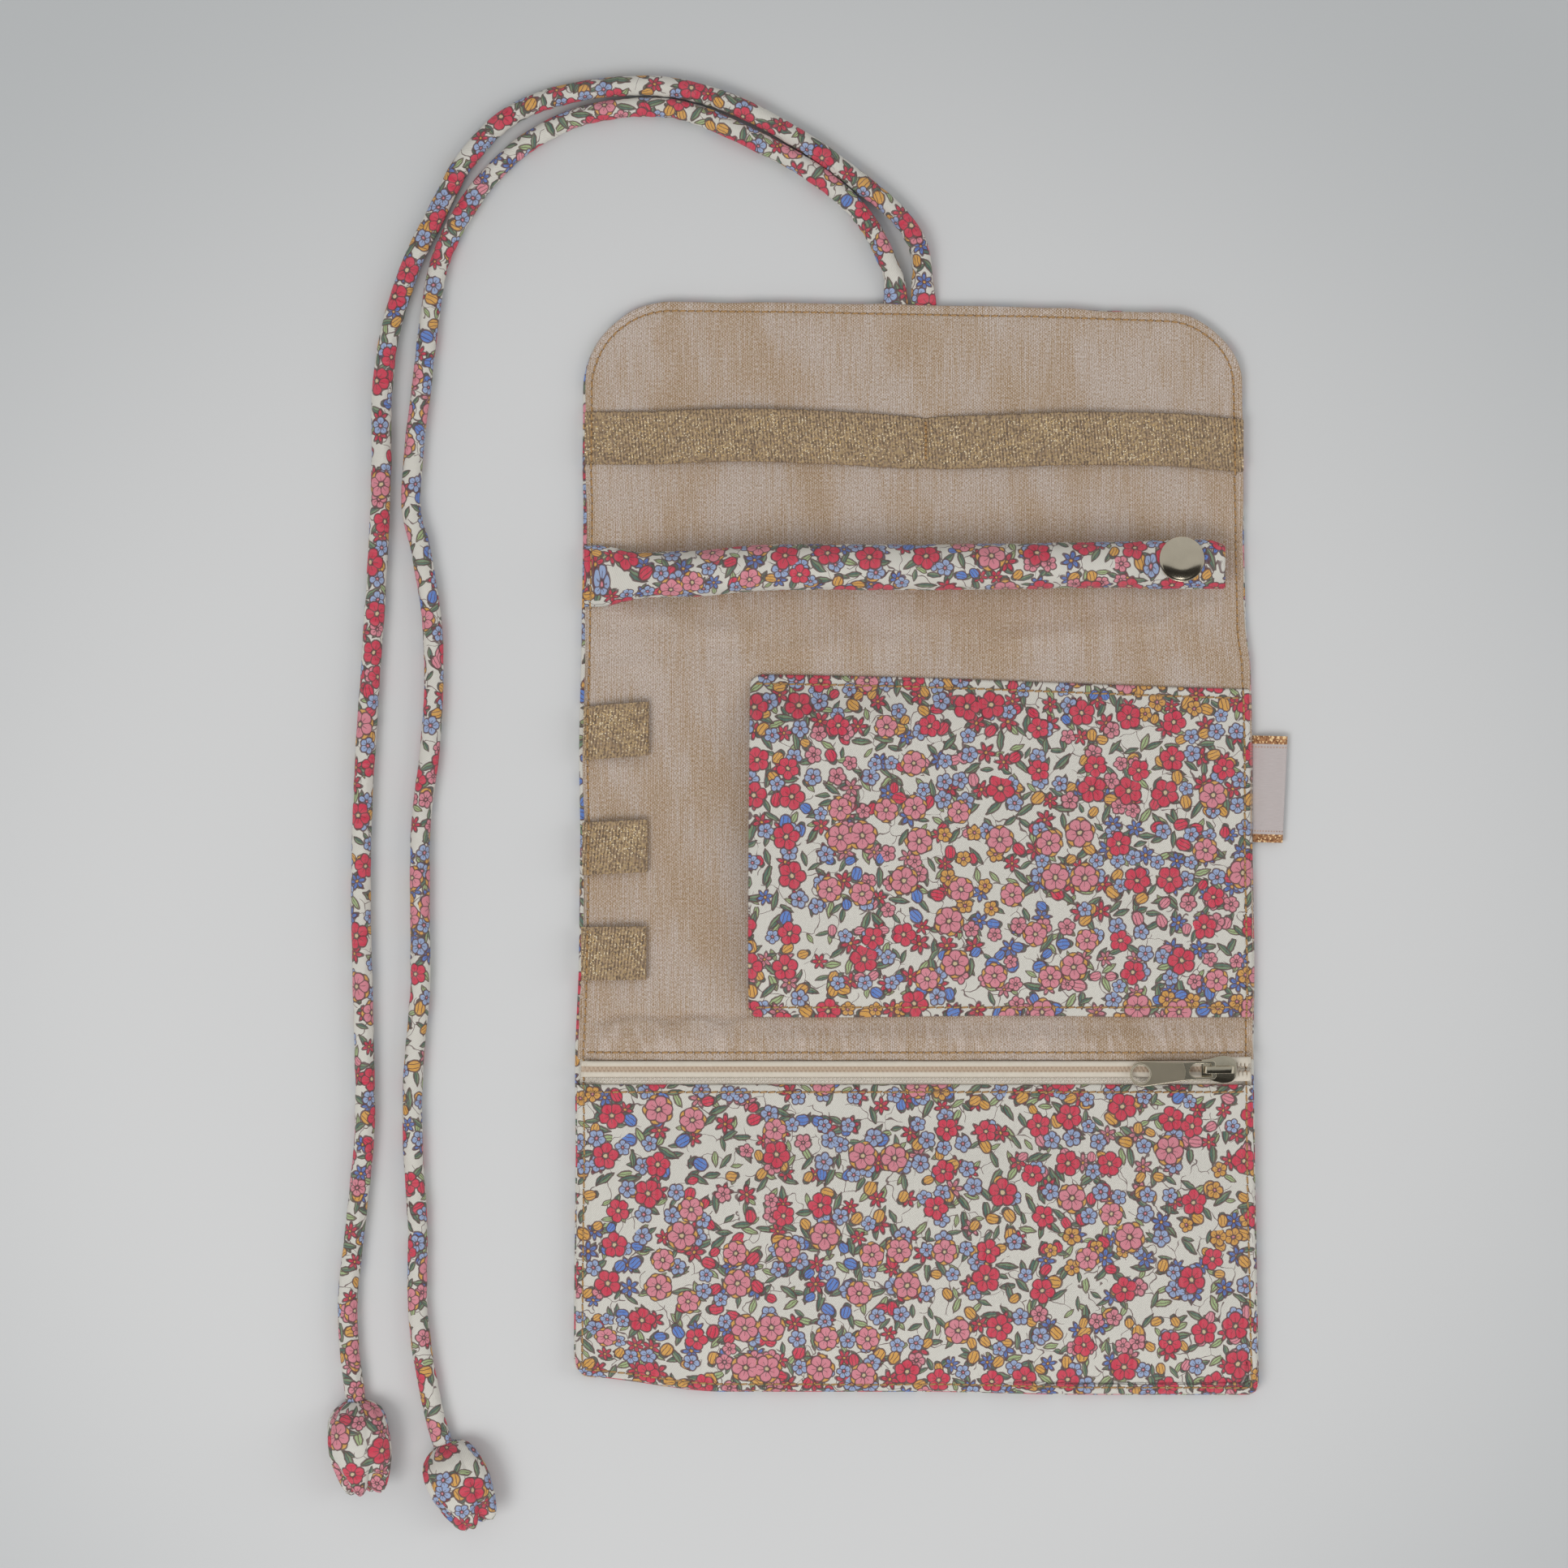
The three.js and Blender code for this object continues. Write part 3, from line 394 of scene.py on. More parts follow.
# Heights of the cloth
WRINKLES = [
    (-92, 68, -48, 60, 2.0, 0.5), (-84, 58, -30, 63, 2.4, 0.45), (-52, 55, 6, 59, 2.2, 0.5),
    (-20, 66, 34, 61, 1.9, 0.45), (14, 57, 66, 63, 2.3, 0.6), (44, 66, 92, 59, 1.8, 0.6),
    (62, 62, 95, 72, 1.7, 0.55), (74, 70, 95, 84, 1.6, 0.4), (-96, 50, -70, 55, 2.0, 0.4),
    (70, 108, 84, 98, 2.2, 0.35), (-94, 24, -74, 20, 1.8, 0.4),
]


def ridge(x, y, x0, y0, x1, y1, width, height):
    """A soft crease along a line, fading out at both ends"""
    way = np.array([x1 - x0, y1 - y0])
    long = np.hypot(*way)
    share = ((x - x0) * way[0] + (y - y0) * way[1]) / long**2
    bow = 0.05 * long * np.sin(np.pi * np.clip(share, 0, 1))
    off = ((x - x0) * way[1] - (y - y0) * way[0]) / long + bow
    fade = ease(share / 0.3) * ease((1 - share) / 0.3)
    return height * fade * bell(off, width)


def seam_depth(x, y):
    """Distance from the nearest side seam, or from the top or bottom edge"""
    side = half_width(y) - np.abs(x)
    return np.minimum(side, np.minimum(TOP - y, y - BASE))


def seam_pucker(x, y, strength):
    """Short folds that run in from the stitched edges"""
    side = half_width(y) - np.abs(x)
    end = np.minimum(TOP - y, y - BASE)
    lengthwise = soft_noise(y / 3.4, np.sign(x) * 3.0, 21) * bell(side - PUCKER_INSET, PUCKER_REACH)
    crosswise = soft_noise(x / 3.8, np.sign(y) * 5.0, 33) * bell(end - PUCKER_INSET, PUCKER_REACH)
    return strength * (lengthwise + crosswise)


# Where the patch pocket, the ring roll and the earring band lie on the lining
PATCH_FROM_X = -52
PATCH_ON = (-54, 56)
ROLL_ON = (70, 96)
BAND_ON = (109, 130)


def within(y, span, fade):
    return ease((y - span[0]) / fade) * ease((span[1] - y) / fade)


def under_things(x, y):
    """1 where the lining is free, and less under what lies on it"""
    patch = ease((x - PATCH_FROM_X) / 4) * within(y, PATCH_ON, 5)
    roll = within(y, ROLL_ON, 5)
    band = within(y, BAND_ON, 3)
    return 1 - 0.85 * np.maximum(patch, np.maximum(0.6 * roll, 0.6 * band))


def lining_height(x, y):
    free = under_things(x, y) * ease((seam_depth(x, y) - 2) / 5)
    waves = 0.36 * rough_noise(x / 16, y / 34, 3) + 0.14 * rough_noise(x / 5, y / 15, 7)
    waves = waves + bell(y - UPPER_FOLD, 9) * 0.42 * rough_noise(x / 26 + y / 40, y / 3.6, 5)
    for line in WRINKLES:
        waves = waves + 1.5 * ridge(x, y, *line)
    low_strip = ease((LOWER_FOLD + 6 - y) / 8)
    waves = waves + low_strip * 0.4 * rough_noise(x / 5.5, y / 22, 13)
    pressed = ease((half_width(y) - np.abs(x) - 1.5) / 7)
    fold_line = LOWER_FOLD + 0.2 + 2.1 * np.abs(np.sin(x * 0.17 + 0.9 * soft_noise(x / 24, 0.5, 15)))
    sharp = ease((-x - 36) / 10) * ease((half_width(y) - np.abs(x) - 2) / 8)
    waves = waves - sharp * 0.75 * bell(y - fold_line, 0.85)
    rise = mix(ease((LOWER_FOLD + 0.5 - y) / 6.5), ease((fold_line - y) / 2.2), 0.3 * sharp)
    over_tape = (FACING_TOP - LINING_TOP) * rise * mix(0.3, 1, pressed)
    return LINING_TOP + free * waves + seam_pucker(x, y, 0.18) + over_tape


def lining_edge(base):
    """How far the print shows outside the lining"""
    x, y = base[:, 0], base[:, 1]
    left = ease((-x - 60) / 30) * mix(0.75, 0.4, ease((-y - 30) / 30)) * ease((TOP - 14 - y) / 24)
    right = ease((x - 60) / 30) * mix(0.1, -0.3, ease((y - 88) / 14))
    top = -0.5 * ease((y - TOP + 6) / 4) * ease((60 - x) / 20)
    return left + right + top + 0.05 + 0.26 * soft_noise(x / 9, y / 9, 17)


def front_height(x, y):
    """The zip pocket's front: full in its middle, held down at its seams and over the zip tape"""
    side = half_width(y) - np.abs(x)
    down = FRONT_EDGE - y
    full = ease((side - 1) / 26) * ease((y - BASE - 1) / 22) * mix(0.25, 1, ease((down - 6) / 26))
    tape = 1.05 * (1 - ease((down - 5) / 16)) * ease((side - 1.5) / 7)
    soft = ease((side - 2) / 7) * ease((y - BASE - 2) / 7)
    waves = 0.34 * rough_noise(x / 17, y / 21, 41) + 0.14 * rough_noise(x / 6, y / 9, 43)
    return FRONT_TOP + np.maximum(tape, FRONT_FULL * full) + soft * waves + seam_pucker(x, y, 0.2)


def shell_height(x, y):
    return SHELL_UNDER + 0.06 * (1 + rough_noise(x / 11, y / 13, 51))


def inside_edge(by):
    return lambda base: lining_edge(base) + by


# From each panel's face out to its seam: how far inside the seam, and how much higher than the face
LINING_RIM = [
    (2.9, -0.1), (STITCH_INSET, -0.32), (1.75, -0.08), (1.25, -0.04), (inside_edge(0.5), -0.1),
    (inside_edge(0.12), -0.35), (inside_edge(0), -0.65), (inside_edge(0.3), -0.95),
]
SHELL_RIM = [
    (2.8, 0.05), (STITCH_INSET, 0.22), (1.7, 0.02), (0.9, 0), (0.45, 0.15), (0.14, 0.45), (0, 0.9),
    (0.05, 1.35), (0.25, 1.7), (0.7, 1.85), (1.5, 1.8), (2.2, 1.7),
]
FRONT_RIM = [
    (2.9, -0.12), (STITCH_INSET, -0.36), (1.75, -0.1), (1.1, -0.12), (0.6, -0.4), (0.32, -0.9), (0.26, -1.6),
    (0.5, -2.3),
]


# Node trees
def paint(red, green, blue):
    """A colour from its three values out of 255, as it looks in plain light"""
    def channel(value):
        share = value / 255
        return share / 12.92 if share <= 0.04045 else ((share + 0.055) / 1.055) ** 2.4
    return (channel(red), channel(green), channel(blue), 1)


class Wire:
    """A number in a node tree that takes plain arithmetic"""

    __array_ufunc__ = None

    def __init__(self, net, socket):
        self.net = net
        self.socket = socket

    def math(self, operation, *others, clamp=False):
        feeds = dict(enumerate((self, *others)))
        made = self.net.node("ShaderNodeMath", feeds, operation=operation, use_clamp=clamp)
        return Wire(self.net, made.outputs[0])

    def __add__(self, other):
        return self.math("ADD", other)

    def __sub__(self, other):
        return self.math("SUBTRACT", other)

    def __rsub__(self, other):
        return self.math("MULTIPLY_ADD", -1, other)

    def __mul__(self, other):
        return self.math("MULTIPLY", other)

    def __truediv__(self, other):
        return self.math("DIVIDE", other)

    def __abs__(self):
        return self.math("ABSOLUTE")

    __radd__ = __add__
    __rmul__ = __mul__

    def below(self, limit, blur=0.07):
        """1 where the number is under a limit, with a soft step"""
        return (limit - self).math("MULTIPLY_ADD", 1 / blur, 0.5, clamp=True)

    def above(self, limit, blur=0.07):
        return (self - limit).math("MULTIPLY_ADD", 1 / blur, 0.5, clamp=True)

    def over(self, limit):
        """1 where the number is over a limit, with no step between"""
        return self.math("GREATER_THAN", limit)


class Net:
    """Builds the nodes of a new material, or of the world"""

    def __init__(self, name, world=None):
        self.owner = world or bpy.data.materials.new(name)
        self.owner.use_nodes = True
        self.tree = self.owner.node_tree
        self.shader = self.tree.nodes.get("Principled BSDF")

    def node(self, kind, feeds=None, **settings):
        made = self.tree.nodes.new(kind)
        for key, value in settings.items():
            setattr(made, key, value)
        for key, value in (feeds or {}).items():
            self.feed(made.inputs[key], value)
        return made

    def feed(self, socket, value):
        value = value.socket if isinstance(value, Wire) else value
        if isinstance(value, bpy.types.NodeSocket):
            self.tree.links.new(value, socket)
        else:
            socket.default_value = value

    def place(self):
        """The place on the cloth, in millimetres"""
        return self.node("ShaderNodeUVMap", uv_map=UV_NAME).outputs["UV"]

    def solid(self):
        """The place in the solid itself, in metres"""
        return self.node("ShaderNodeTexCoord").outputs["Object"]

    def vector(self, operation, first, second):
        return self.node("ShaderNodeVectorMath", {0: first, 1: second}, operation=operation).outputs[0]

    def split(self, vector):
        made = self.node("ShaderNodeSeparateXYZ", {0: vector})
        return [Wire(self, out) for out in made.outputs]

    def noise(self, vector, size, detail=2.0, stretch=(1, 1), offset=0.0):
        scaled = self.vector("MULTIPLY", vector, (1 / (size * stretch[0]), 1 / (size * stretch[1]), 1))
        moved = self.vector("ADD", scaled, (offset, offset, 0))
        made = self.node("ShaderNodeTexNoise", {"Vector": moved, "Scale": 1.0, "Detail": detail})
        made.noise_dimensions = "2D"
        return Wire(self, made.outputs[0])

    def grain(self, vector, scale, detail=2.0, output=0):
        feeds = {"Vector": vector, "Scale": float(scale), "Detail": float(detail)}
        return Wire(self, self.node("ShaderNodeTexNoise", feeds).outputs[output])

    def turned(self, vector, angle):
        feeds = {"Vector": vector, "Angle": angle}
        return self.node("ShaderNodeVectorRotate", feeds, rotation_type="Z_AXIS").outputs[0]

    def cells(self, vector, spacing, jitter, feature="F1"):
        return self.node(
            "ShaderNodeTexVoronoi", {"Vector": vector, "Scale": 1 / spacing, "Randomness": jitter},
            voronoi_dimensions="2D", feature=feature)

    def mix(self, share, first, second, blend="MIX"):
        feeds = {0: share, 6: first, 7: second}
        made = self.node("ShaderNodeMix", feeds, data_type="RGBA", blend_type=blend)
        return made.outputs[2]

    def ramp(self, share, stops, constant=False):
        made = self.node("ShaderNodeValToRGB", {0: share})
        made.color_ramp.interpolation = "CONSTANT" if constant else "LINEAR"
        elements = made.color_ramp.elements
        while len(elements) < len(stops):
            elements.new(0.5)
        for element, (position, _) in zip(elements, stops):
            element.position = position
        for element, (_, colour) in zip(elements, stops):
            element.color = colour
        return made.outputs[0]

    def wave(self, number, period):
        return (number * (TURN / period)).math("SINE")

    def finish(self, colour, roughness, height=None, depth=0.1, **constants):
        """Joins colour, roughness and relief to the shader. depth is in millimetres."""
        self.feed(self.shader.inputs["Base Color"], colour)
        self.feed(self.shader.inputs["Roughness"], roughness)
        if height is not None:
            bump = self.node("ShaderNodeBump", {"Height": height, "Distance": depth * MM})
            self.feed(self.shader.inputs["Normal"], bump.outputs[0])
        for name, value in constants.items():
            self.shader.inputs[name.replace("_", " ").title().replace("Ior", "IOR")].default_value = value
        return self.owner


# Colours of the print
INK = paint(84, 46, 48)
CREAM = paint(216, 213, 203)
PALE_CREAM = paint(223, 219, 208)
CORAL = paint(218, 48, 80)
PINK = paint(226, 138, 152)
PETAL_SHADE = paint(150, 60, 90)
MUSTARD = paint(222, 164, 74)
STRAW = paint(214, 190, 150)
SKY = paint(156, 178, 216)
CORNFLOWER = paint(90, 132, 208)
FIR = paint(68, 108, 92)
MOSS = paint(84, 118, 98)
SAGE = paint(166, 188, 132)
THREAD_SHADE = paint(120, 112, 108)
SLUB = paint(246, 243, 236)

# The print, an own design: blossoms, daisies, buds and leaves strewn over stems
LINE = 0.2
THEME_SIZE = 27.0
DRAWN = 0.85
DAISY_THEMES = [(0, CORAL), (0.26, CORNFLOWER), (0.42, CORAL), (0.66, CORNFLOWER), (0.84, PINK)]
BUD_THEMES = [(0, MUSTARD), (0.34, CORAL), (0.52, CORNFLOWER), (0.7, MUSTARD), (0.86, PINK)]
SMALL_THEMES = [(0, SKY), (0.42, PINK), (0.54, SKY), (0.9, MUSTARD)]
LARGE_THEMES = [(0, CORAL), (0.42, PINK), (0.74, CORAL)]


def scatter(net, place, spacing, jitter, shift):
    """Motifs on a loose grid: x and y from the nearest one's middle, its own numbers and its theme"""
    moved = net.vector("ADD", place, (*shift, 0))
    cell = net.cells(moved, spacing, jitter)
    away = net.vector("SUBTRACT", moved, cell.outputs["Position"])
    chance = net.split(cell.outputs["Color"])
    x, y, _ = net.split(net.turned(away, chance[0] * TURN))
    theme = net.split(net.cells(cell.outputs["Position"], THEME_SIZE, 1).outputs["Color"])[0]
    return x, y, chance, theme


def petals(x, y, count, reach, long, wide, turn=0.0):
    """Radius, distance to the edge of a ring of petals and to the line between two, and place across one"""
    radius = (x * x + y * y).math("SQRT")
    slice_angle = TURN / count
    angle = (y.math("ARCTAN2", x) + turn).math("WRAP", slice_angle / 2, -slice_angle / 2)
    lengthwise = (radius * angle.math("COSINE") - reach) / long
    across = radius * angle.math("SINE")
    crosswise = across / wide
    edge = ((lengthwise * lengthwise + crosswise * crosswise).math("SQRT") - 1) * min(long, wide)
    between = radius * (slice_angle / 2 - abs(angle)).math("SINE")
    return radius, edge, between, abs(across)


def blossoms(
        net, under, place, spacing, shift, size, count, palette, eye, rare=0.14, backed=None, pointed=False):
    """One layer of flowers. backed is the range of themes whose flowers have mustard petals behind them."""
    x, y, chance, theme = scatter(net, place, spacing, 0.62, shift)
    scale = (chance[1] * 0.3 + 0.85) * size
    x, y = x / scale, y / scale
    shown = chance[2].over(rare)
    reach, long, wide = (0.54, 0.46, 0.22) if pointed else (0.6, 0.4, 0.43)
    line, blur, heart = LINE / size, 0.03, 0.17
    if backed:
        _, edge, _, _ = petals(x, y, count, reach * 1.16, long, wide, TURN / count / 2)
        behind = shown * theme.over(backed[0]) * (1 - theme.over(backed[1]))
        under = net.mix(edge.below(0, blur) * behind, under, MUSTARD)
        under = net.mix(abs(edge).below(line, blur) * behind * DRAWN, under, INK)
    radius, edge, between, across = petals(x, y, count, reach, long, wide)
    inside = edge.below(0, blur) * shown
    shade = chance[1] * 0.5 + (1 - radius) * 0.35
    fill = net.mix(shade * 0.16, net.ramp(theme, palette, constant=True), PETAL_SHADE, "MULTIPLY")
    under = net.mix(inside, under, fill)
    vein = across.below(line * 0.45, blur) * radius.below(0.62, 0.05) * radius.above(0.2, 0.05)
    parted = between.below(line * 0.6, blur) * inside
    outline = abs(edge).below(line, blur) * shown
    drawn = outline.math("MAXIMUM", parted).math("MAXIMUM", vein * inside * 0.8)
    under = net.mix(drawn * 0.88, under, INK)
    under = net.mix(radius.below(heart, blur) * shown, under, eye)
    return net.mix(abs(radius - heart).below(line * 0.7, blur) * shown * 0.8, under, INK)


def leaves(net, under, place, spacing, shift, long, first, second, wide=0.8):
    """Single leaves with a midrib, one half lighter than the other"""
    x, y, chance, _ = scatter(net, place, spacing, 0.7, shift)
    size = chance[1] * 0.5 + 0.75
    x, y = x / size, y / size
    shown = chance[2].over(0.2)
    edge = abs(y) - (1 - x * x / (long * long)) * wide
    inside = edge.below(0) * shown
    colour = net.mix(chance[0].over(0.5), first, second)
    under = net.mix(inside, under, net.mix(y.above(0), colour, net.mix(0.35, colour, SAGE)))
    rib = abs(y).below(LINE * 0.5) * inside * abs(x).below(long * 0.8)
    notch = abs(net.wave(x + abs(y), 0.9)).below(0.16, 0.1) * inside * 0.4
    outline = abs(edge).below(LINE) * shown * abs(x).below(long * 1.06)
    return net.mix(outline.math("MAXIMUM", rib).math("MAXIMUM", notch) * DRAWN, under, INK)


def buds(net, under, place, spacing, shift, size):
    """Round buds in a green cup"""
    x, y, chance, theme = scatter(net, place, spacing, 0.75, shift)
    shown = chance[2].over(0.34)
    scale = (chance[1] * 0.4 + 0.8) * size
    x, y = x / scale, y / scale
    line, blur, cup_back = LINE / size, 0.05, x + 0.85
    cup = (cup_back * cup_back + y * y).math("SQRT") - 0.62
    under = net.mix(cup.below(0, blur) * shown, under, FIR)
    under = net.mix(abs(cup).below(line, blur) * shown * DRAWN, under, INK)
    edge = (x * x * 0.62 + y * y).math("SQRT") - 0.85
    inside = edge.below(0, blur) * shown
    under = net.mix(inside, under, net.ramp(theme, BUD_THEMES, constant=True))
    stripe = abs(abs(y) - 0.3).below(line * 0.5, 0.04) * inside * x.below(0.75, blur)
    outline = abs(edge).below(line, blur) * shown
    return net.mix(outline.math("MAXIMUM", stripe) * DRAWN, under, INK)


def stems(net, under, place, spacing=7.5, swirl=9):
    """Thin curling stems, broken here and there"""
    drift = net.vector("MULTIPLY", net.grain(place, 0.16, 1, 1), (swirl, swirl, 0))
    curled = net.vector("ADD", place, drift)
    network = Wire(net, net.cells(curled, spacing, 0.9, "DISTANCE_TO_EDGE").outputs[0]) * spacing
    broken = net.noise(place, 7, detail=0, offset=3).above(0.44, 0.03)
    return net.mix(network.below(0.13, 0.08) * broken * DRAWN, under, INK)


def canvas(net, place, period=0.62):
    """The relief of a plain weave, from 0 to 1"""
    x, y, _ = net.split(place)
    return net.wave(x + y * 0.5, period) * net.wave(y, period * 0.8) * 0.5 + 0.5


def print_cloth():
    net = Net("floral_print")
    place = net.place()
    hand = net.vector("ADD", place, net.vector("MULTIPLY", net.grain(place, 0.55, 1, 1), (0.7, 0.7, 0)))
    colour = net.mix(net.noise(place, 30), CREAM, PALE_CREAM)
    colour = stems(net, colour, hand)
    colour = leaves(net, colour, hand, 5.4, (3.1, 8.3), 2.3, FIR, SAGE)
    colour = leaves(net, colour, hand, 6.6, (21.7, 2.9), 2.8, FIR, MOSS)
    colour = blossoms(net, colour, hand, 9.3, (37.1, 19.4), 2.6, 6, DAISY_THEMES, MUSTARD, pointed=True)
    colour = buds(net, colour, hand, 6.9, (11.3, 5.2), 1.75)
    colour = blossoms(net, colour, hand, 7.2, (5.5, 31.2), 2.4, 5, SMALL_THEMES, PINK, rare=0.38)
    backed = (LARGE_THEMES[1][0], LARGE_THEMES[2][0])
    colour = blossoms(net, colour, hand, 12.4, (0.4, 0.9), 3.7, 5, LARGE_THEMES, STRAW, backed=backed)
    weave = canvas(net, place)
    colour = net.mix(weave * 0.24, colour, THREAD_SHADE, "MULTIPLY")
    slub = net.noise(place, 0.9, stretch=(1, 6))
    colour = net.mix((slub - 0.5) * 0.12 + 0.06, colour, SLUB)
    return net.finish(colour, 0.88, weave + slub * 0.4, 0.09, sheen_weight=0.12, specular_ior_level=0.25)


# The lining, a shot cloth: lilac white and gold in turn, thread by thread and in broad soft bands
LINING_BANDS = [
    (0.28, paint(197, 184, 175)), (0.48, paint(184, 166, 150)), (0.62, paint(177, 152, 125)),
    (0.84, paint(162, 132, 94)),
]
LINING_MIDDLE = 0.848
# A painted highlight for the puckers above the zip, and a painted shade for the crease above them
PUCKER_HIGHLIGHT = paint(214, 198, 187)
CREASE_SHADE = paint(126, 96, 64)
PALE_THREAD, DARK_THREAD = paint(236, 224, 214), paint(122, 90, 52)
PALE_FIBRE, GOLD_FIBRE = paint(220, 207, 198), paint(150, 116, 70)
WARP_PITCH = 0.517
WEFT_PITCH = 0.496


def lining_cloth():
    net = Net("shimmer_lining")
    place = net.place()
    x, y, _ = net.split(place)
    leaning = net.turned(place, math.radians(-14))
    bands = net.noise(leaning, 15, detail=1.5, stretch=(1, 3))
    clouds = net.noise(place, 24, detail=1, offset=7)
    streaks = net.noise(place, 1.2, detail=2, stretch=(0.6, 14), offset=5)
    specks = net.noise(place, 0.5, detail=1, stretch=(0.7, 1.6), offset=21)
    side = (y - BASE) * ((HALF_FOLD - HALF_BASE) / (UPPER_FOLD - BASE)) + HALF_BASE - abs(x)
    seam = side.math("MINIMUM", TOP - y).below(2.6, 2.2)
    share = bands * 0.95 + clouds * 0.5 + streaks * 1.05 + specks * 0.25 + seam * 0.05 - LINING_MIDDLE
    colour = net.ramp(share, LINING_BANDS)
    # Above the zip, painted highlights stand for the sheen on the folded cloth's puckers, under a painted
    # brown shade along its crease
    pucker_highlight = net.noise(leaning, 5, detail=1, stretch=(0.5, 2.4), offset=13).above(0.56, 0.16)
    colour = net.mix(abs(y - LOWER_FOLD + 5).below(4.6, 2.5) * pucker_highlight * 0.8, colour, PUCKER_HIGHLIGHT)
    # Painted shade along the crease, in soft patches
    crease_shade_patches = net.noise(place, 9, detail=0, offset=17).above(0.42, 0.3)
    colour = net.mix(abs(y - LOWER_FOLD - 1.3).below(0.8, 1.5) * crease_shade_patches * 0.55, colour, CREASE_SHADE)
    # The weave's dots stand half a step higher in every other column
    dots = net.wave(x, WARP_PITCH) * 0.4 + net.wave(x, 2 * WARP_PITCH) * net.wave(y, WEFT_PITCH) * 0.8
    fibre = net.noise(place, 0.36, detail=1, stretch=(0.7, 2.0), offset=2)
    for shown, tone in (
        (dots.above(0.3, 0.5) * 0.72, PALE_THREAD), (dots.below(-0.3, 0.5) * 0.72, DARK_THREAD),
        (fibre.above(0.54, 0.14) * 0.5, GOLD_FIBRE), (fibre.below(0.44, 0.12) * 0.35, PALE_FIBRE),
    ):
        colour = net.mix(shown, colour, tone)
    return net.finish(
        colour, 0.5, dots * 0.5 + fibre, 0.05, sheen_weight=0.2, sheen_roughness=0.4, metallic=0.1)


# The glitter ribbon
# Painted shade and light of the ribs
RIB_SHADE, RIB_LIT = paint(104, 89, 76), paint(176, 152, 127)
RIBBON_GOLD = paint(172, 138, 90)
GRIT_DARK, GRIT_LIGHT = paint(84, 70, 57), paint(206, 178, 132)
# The metallic yarn's specks: its own gold, brightened into painted glints
GLINT_GOLD, GLINT_WHITE = paint(226, 184, 108), paint(255, 246, 218)


def glitter_ribbon():
    """Fine ribs, painted lighter on their tops and darker between, metallic yarn whose sparkle is painted as
    glints in patches, and plain selvedges
    """
    net = Net("glitter_ribbon")
    place = net.place()
    x, y, _ = net.split(place)
    wobble = net.noise(place, 3, offset=4)
    rib = net.wave(x + y * 0.1 + wobble * 0.25, RIB_PITCH)
    crisp = net.noise(place, 21, detail=1, offset=31).above(0.46, 0.25) * 0.65 + 0.35
    # The ribs are painted lighter on their tops and darker between them
    base = net.mix(rib * crisp * 0.5 + 0.5, RIB_SHADE, RIB_LIT)
    weft = net.noise(place, 0.5, stretch=(1, 1.6))
    base = net.mix(weft.above(0.5, 0.3) * 0.4, base, RIBBON_GOLD)
    grit = net.cells(place, 0.46, 1.0)
    chance = net.split(grit.outputs["Color"])
    near = Wire(net, grit.outputs["Distance"]).below(0.38, 0.16)
    base = net.mix(chance[1].below(0.34, 0.1) * 0.5, base, GRIT_DARK)
    base = net.mix(chance[2].above(0.66, 0.1) * 0.45, base, GRIT_LIGHT)
    gather = net.noise(place, 9, detail=3, offset=8)
    bare = abs(y).above(BAND_WIDTH / 2 - 1.1, 0.6)
    # Painted glints where the metallic yarn sparkles
    yarn_glint = near * (chance[0] + gather * 0.6 + rib * 0.16 - bare * 0.45).above(1.13, 0.03)
    colour = net.mix(yarn_glint, base, net.mix(chance[1], GLINT_GOLD, GLINT_WHITE))
    relief = rib * 0.5 + weft * 0.2 + yarn_glint * 0.3
    return net.finish(colour, 0.6 - yarn_glint * 0.25, relief, 0.12, metallic=0.1, specular_ior_level=0.4)


METAL_CLOUD = paint(130, 120, 102)


def brushed_nickel(name, tint, roughness, grain=0.3):
    net = Net(name)
    place = net.solid()
    fine = net.grain(place, 2600, 3)
    colour = net.mix(net.grain(place, 160) * 0.35, tint, METAL_CLOUD)
    rough = fine * grain * 0.4 + (roughness - grain * 0.2)
    return net.finish(colour, rough, fine, 0.012 * grain, metallic=1.0)


# The zip's tape and coil
TAPE_DARK, TAPE_LIGHT = paint(198, 187, 170), paint(213, 204, 189)
TAPE_FIBRE, TAPE_CHAIN = paint(222, 214, 201), paint(240, 232, 220)
NYLON_DARK, NYLON_LIGHT = paint(205, 195, 178), paint(218, 209, 194)
NYLON_HEAD_SHADE = paint(184, 161, 138)


def zip_tape():
    """Woven tape with two rows of chain stitches beside the coil"""
    net = Net("zip_tape_cloth")
    place = net.place()
    x, y, _ = net.split(place)
    rows = net.wave(x + abs(net.wave(y, 1.6)) * 0.3, 0.6)
    fibre = net.noise(place, 0.5, stretch=(2.5, 1))
    colour = net.mix(rows * 0.5 + 0.5, TAPE_DARK, TAPE_LIGHT)
    colour = net.mix(fibre * 0.4, colour, TAPE_FIBRE)
    from_middle = abs(y - ZIP_Y)
    links = net.wave(x + from_middle, COIL_PITCH).above(-0.3, 0.5)
    chain = abs(abs(from_middle - 3.3) - 0.42).below(0.2, 0.14) * links
    colour = net.mix(chain * 0.75, colour, TAPE_CHAIN)
    return net.finish(colour, 0.8, rows * 0.5 + fibre + chain * 0.8, 0.12, sheen_weight=0.1)


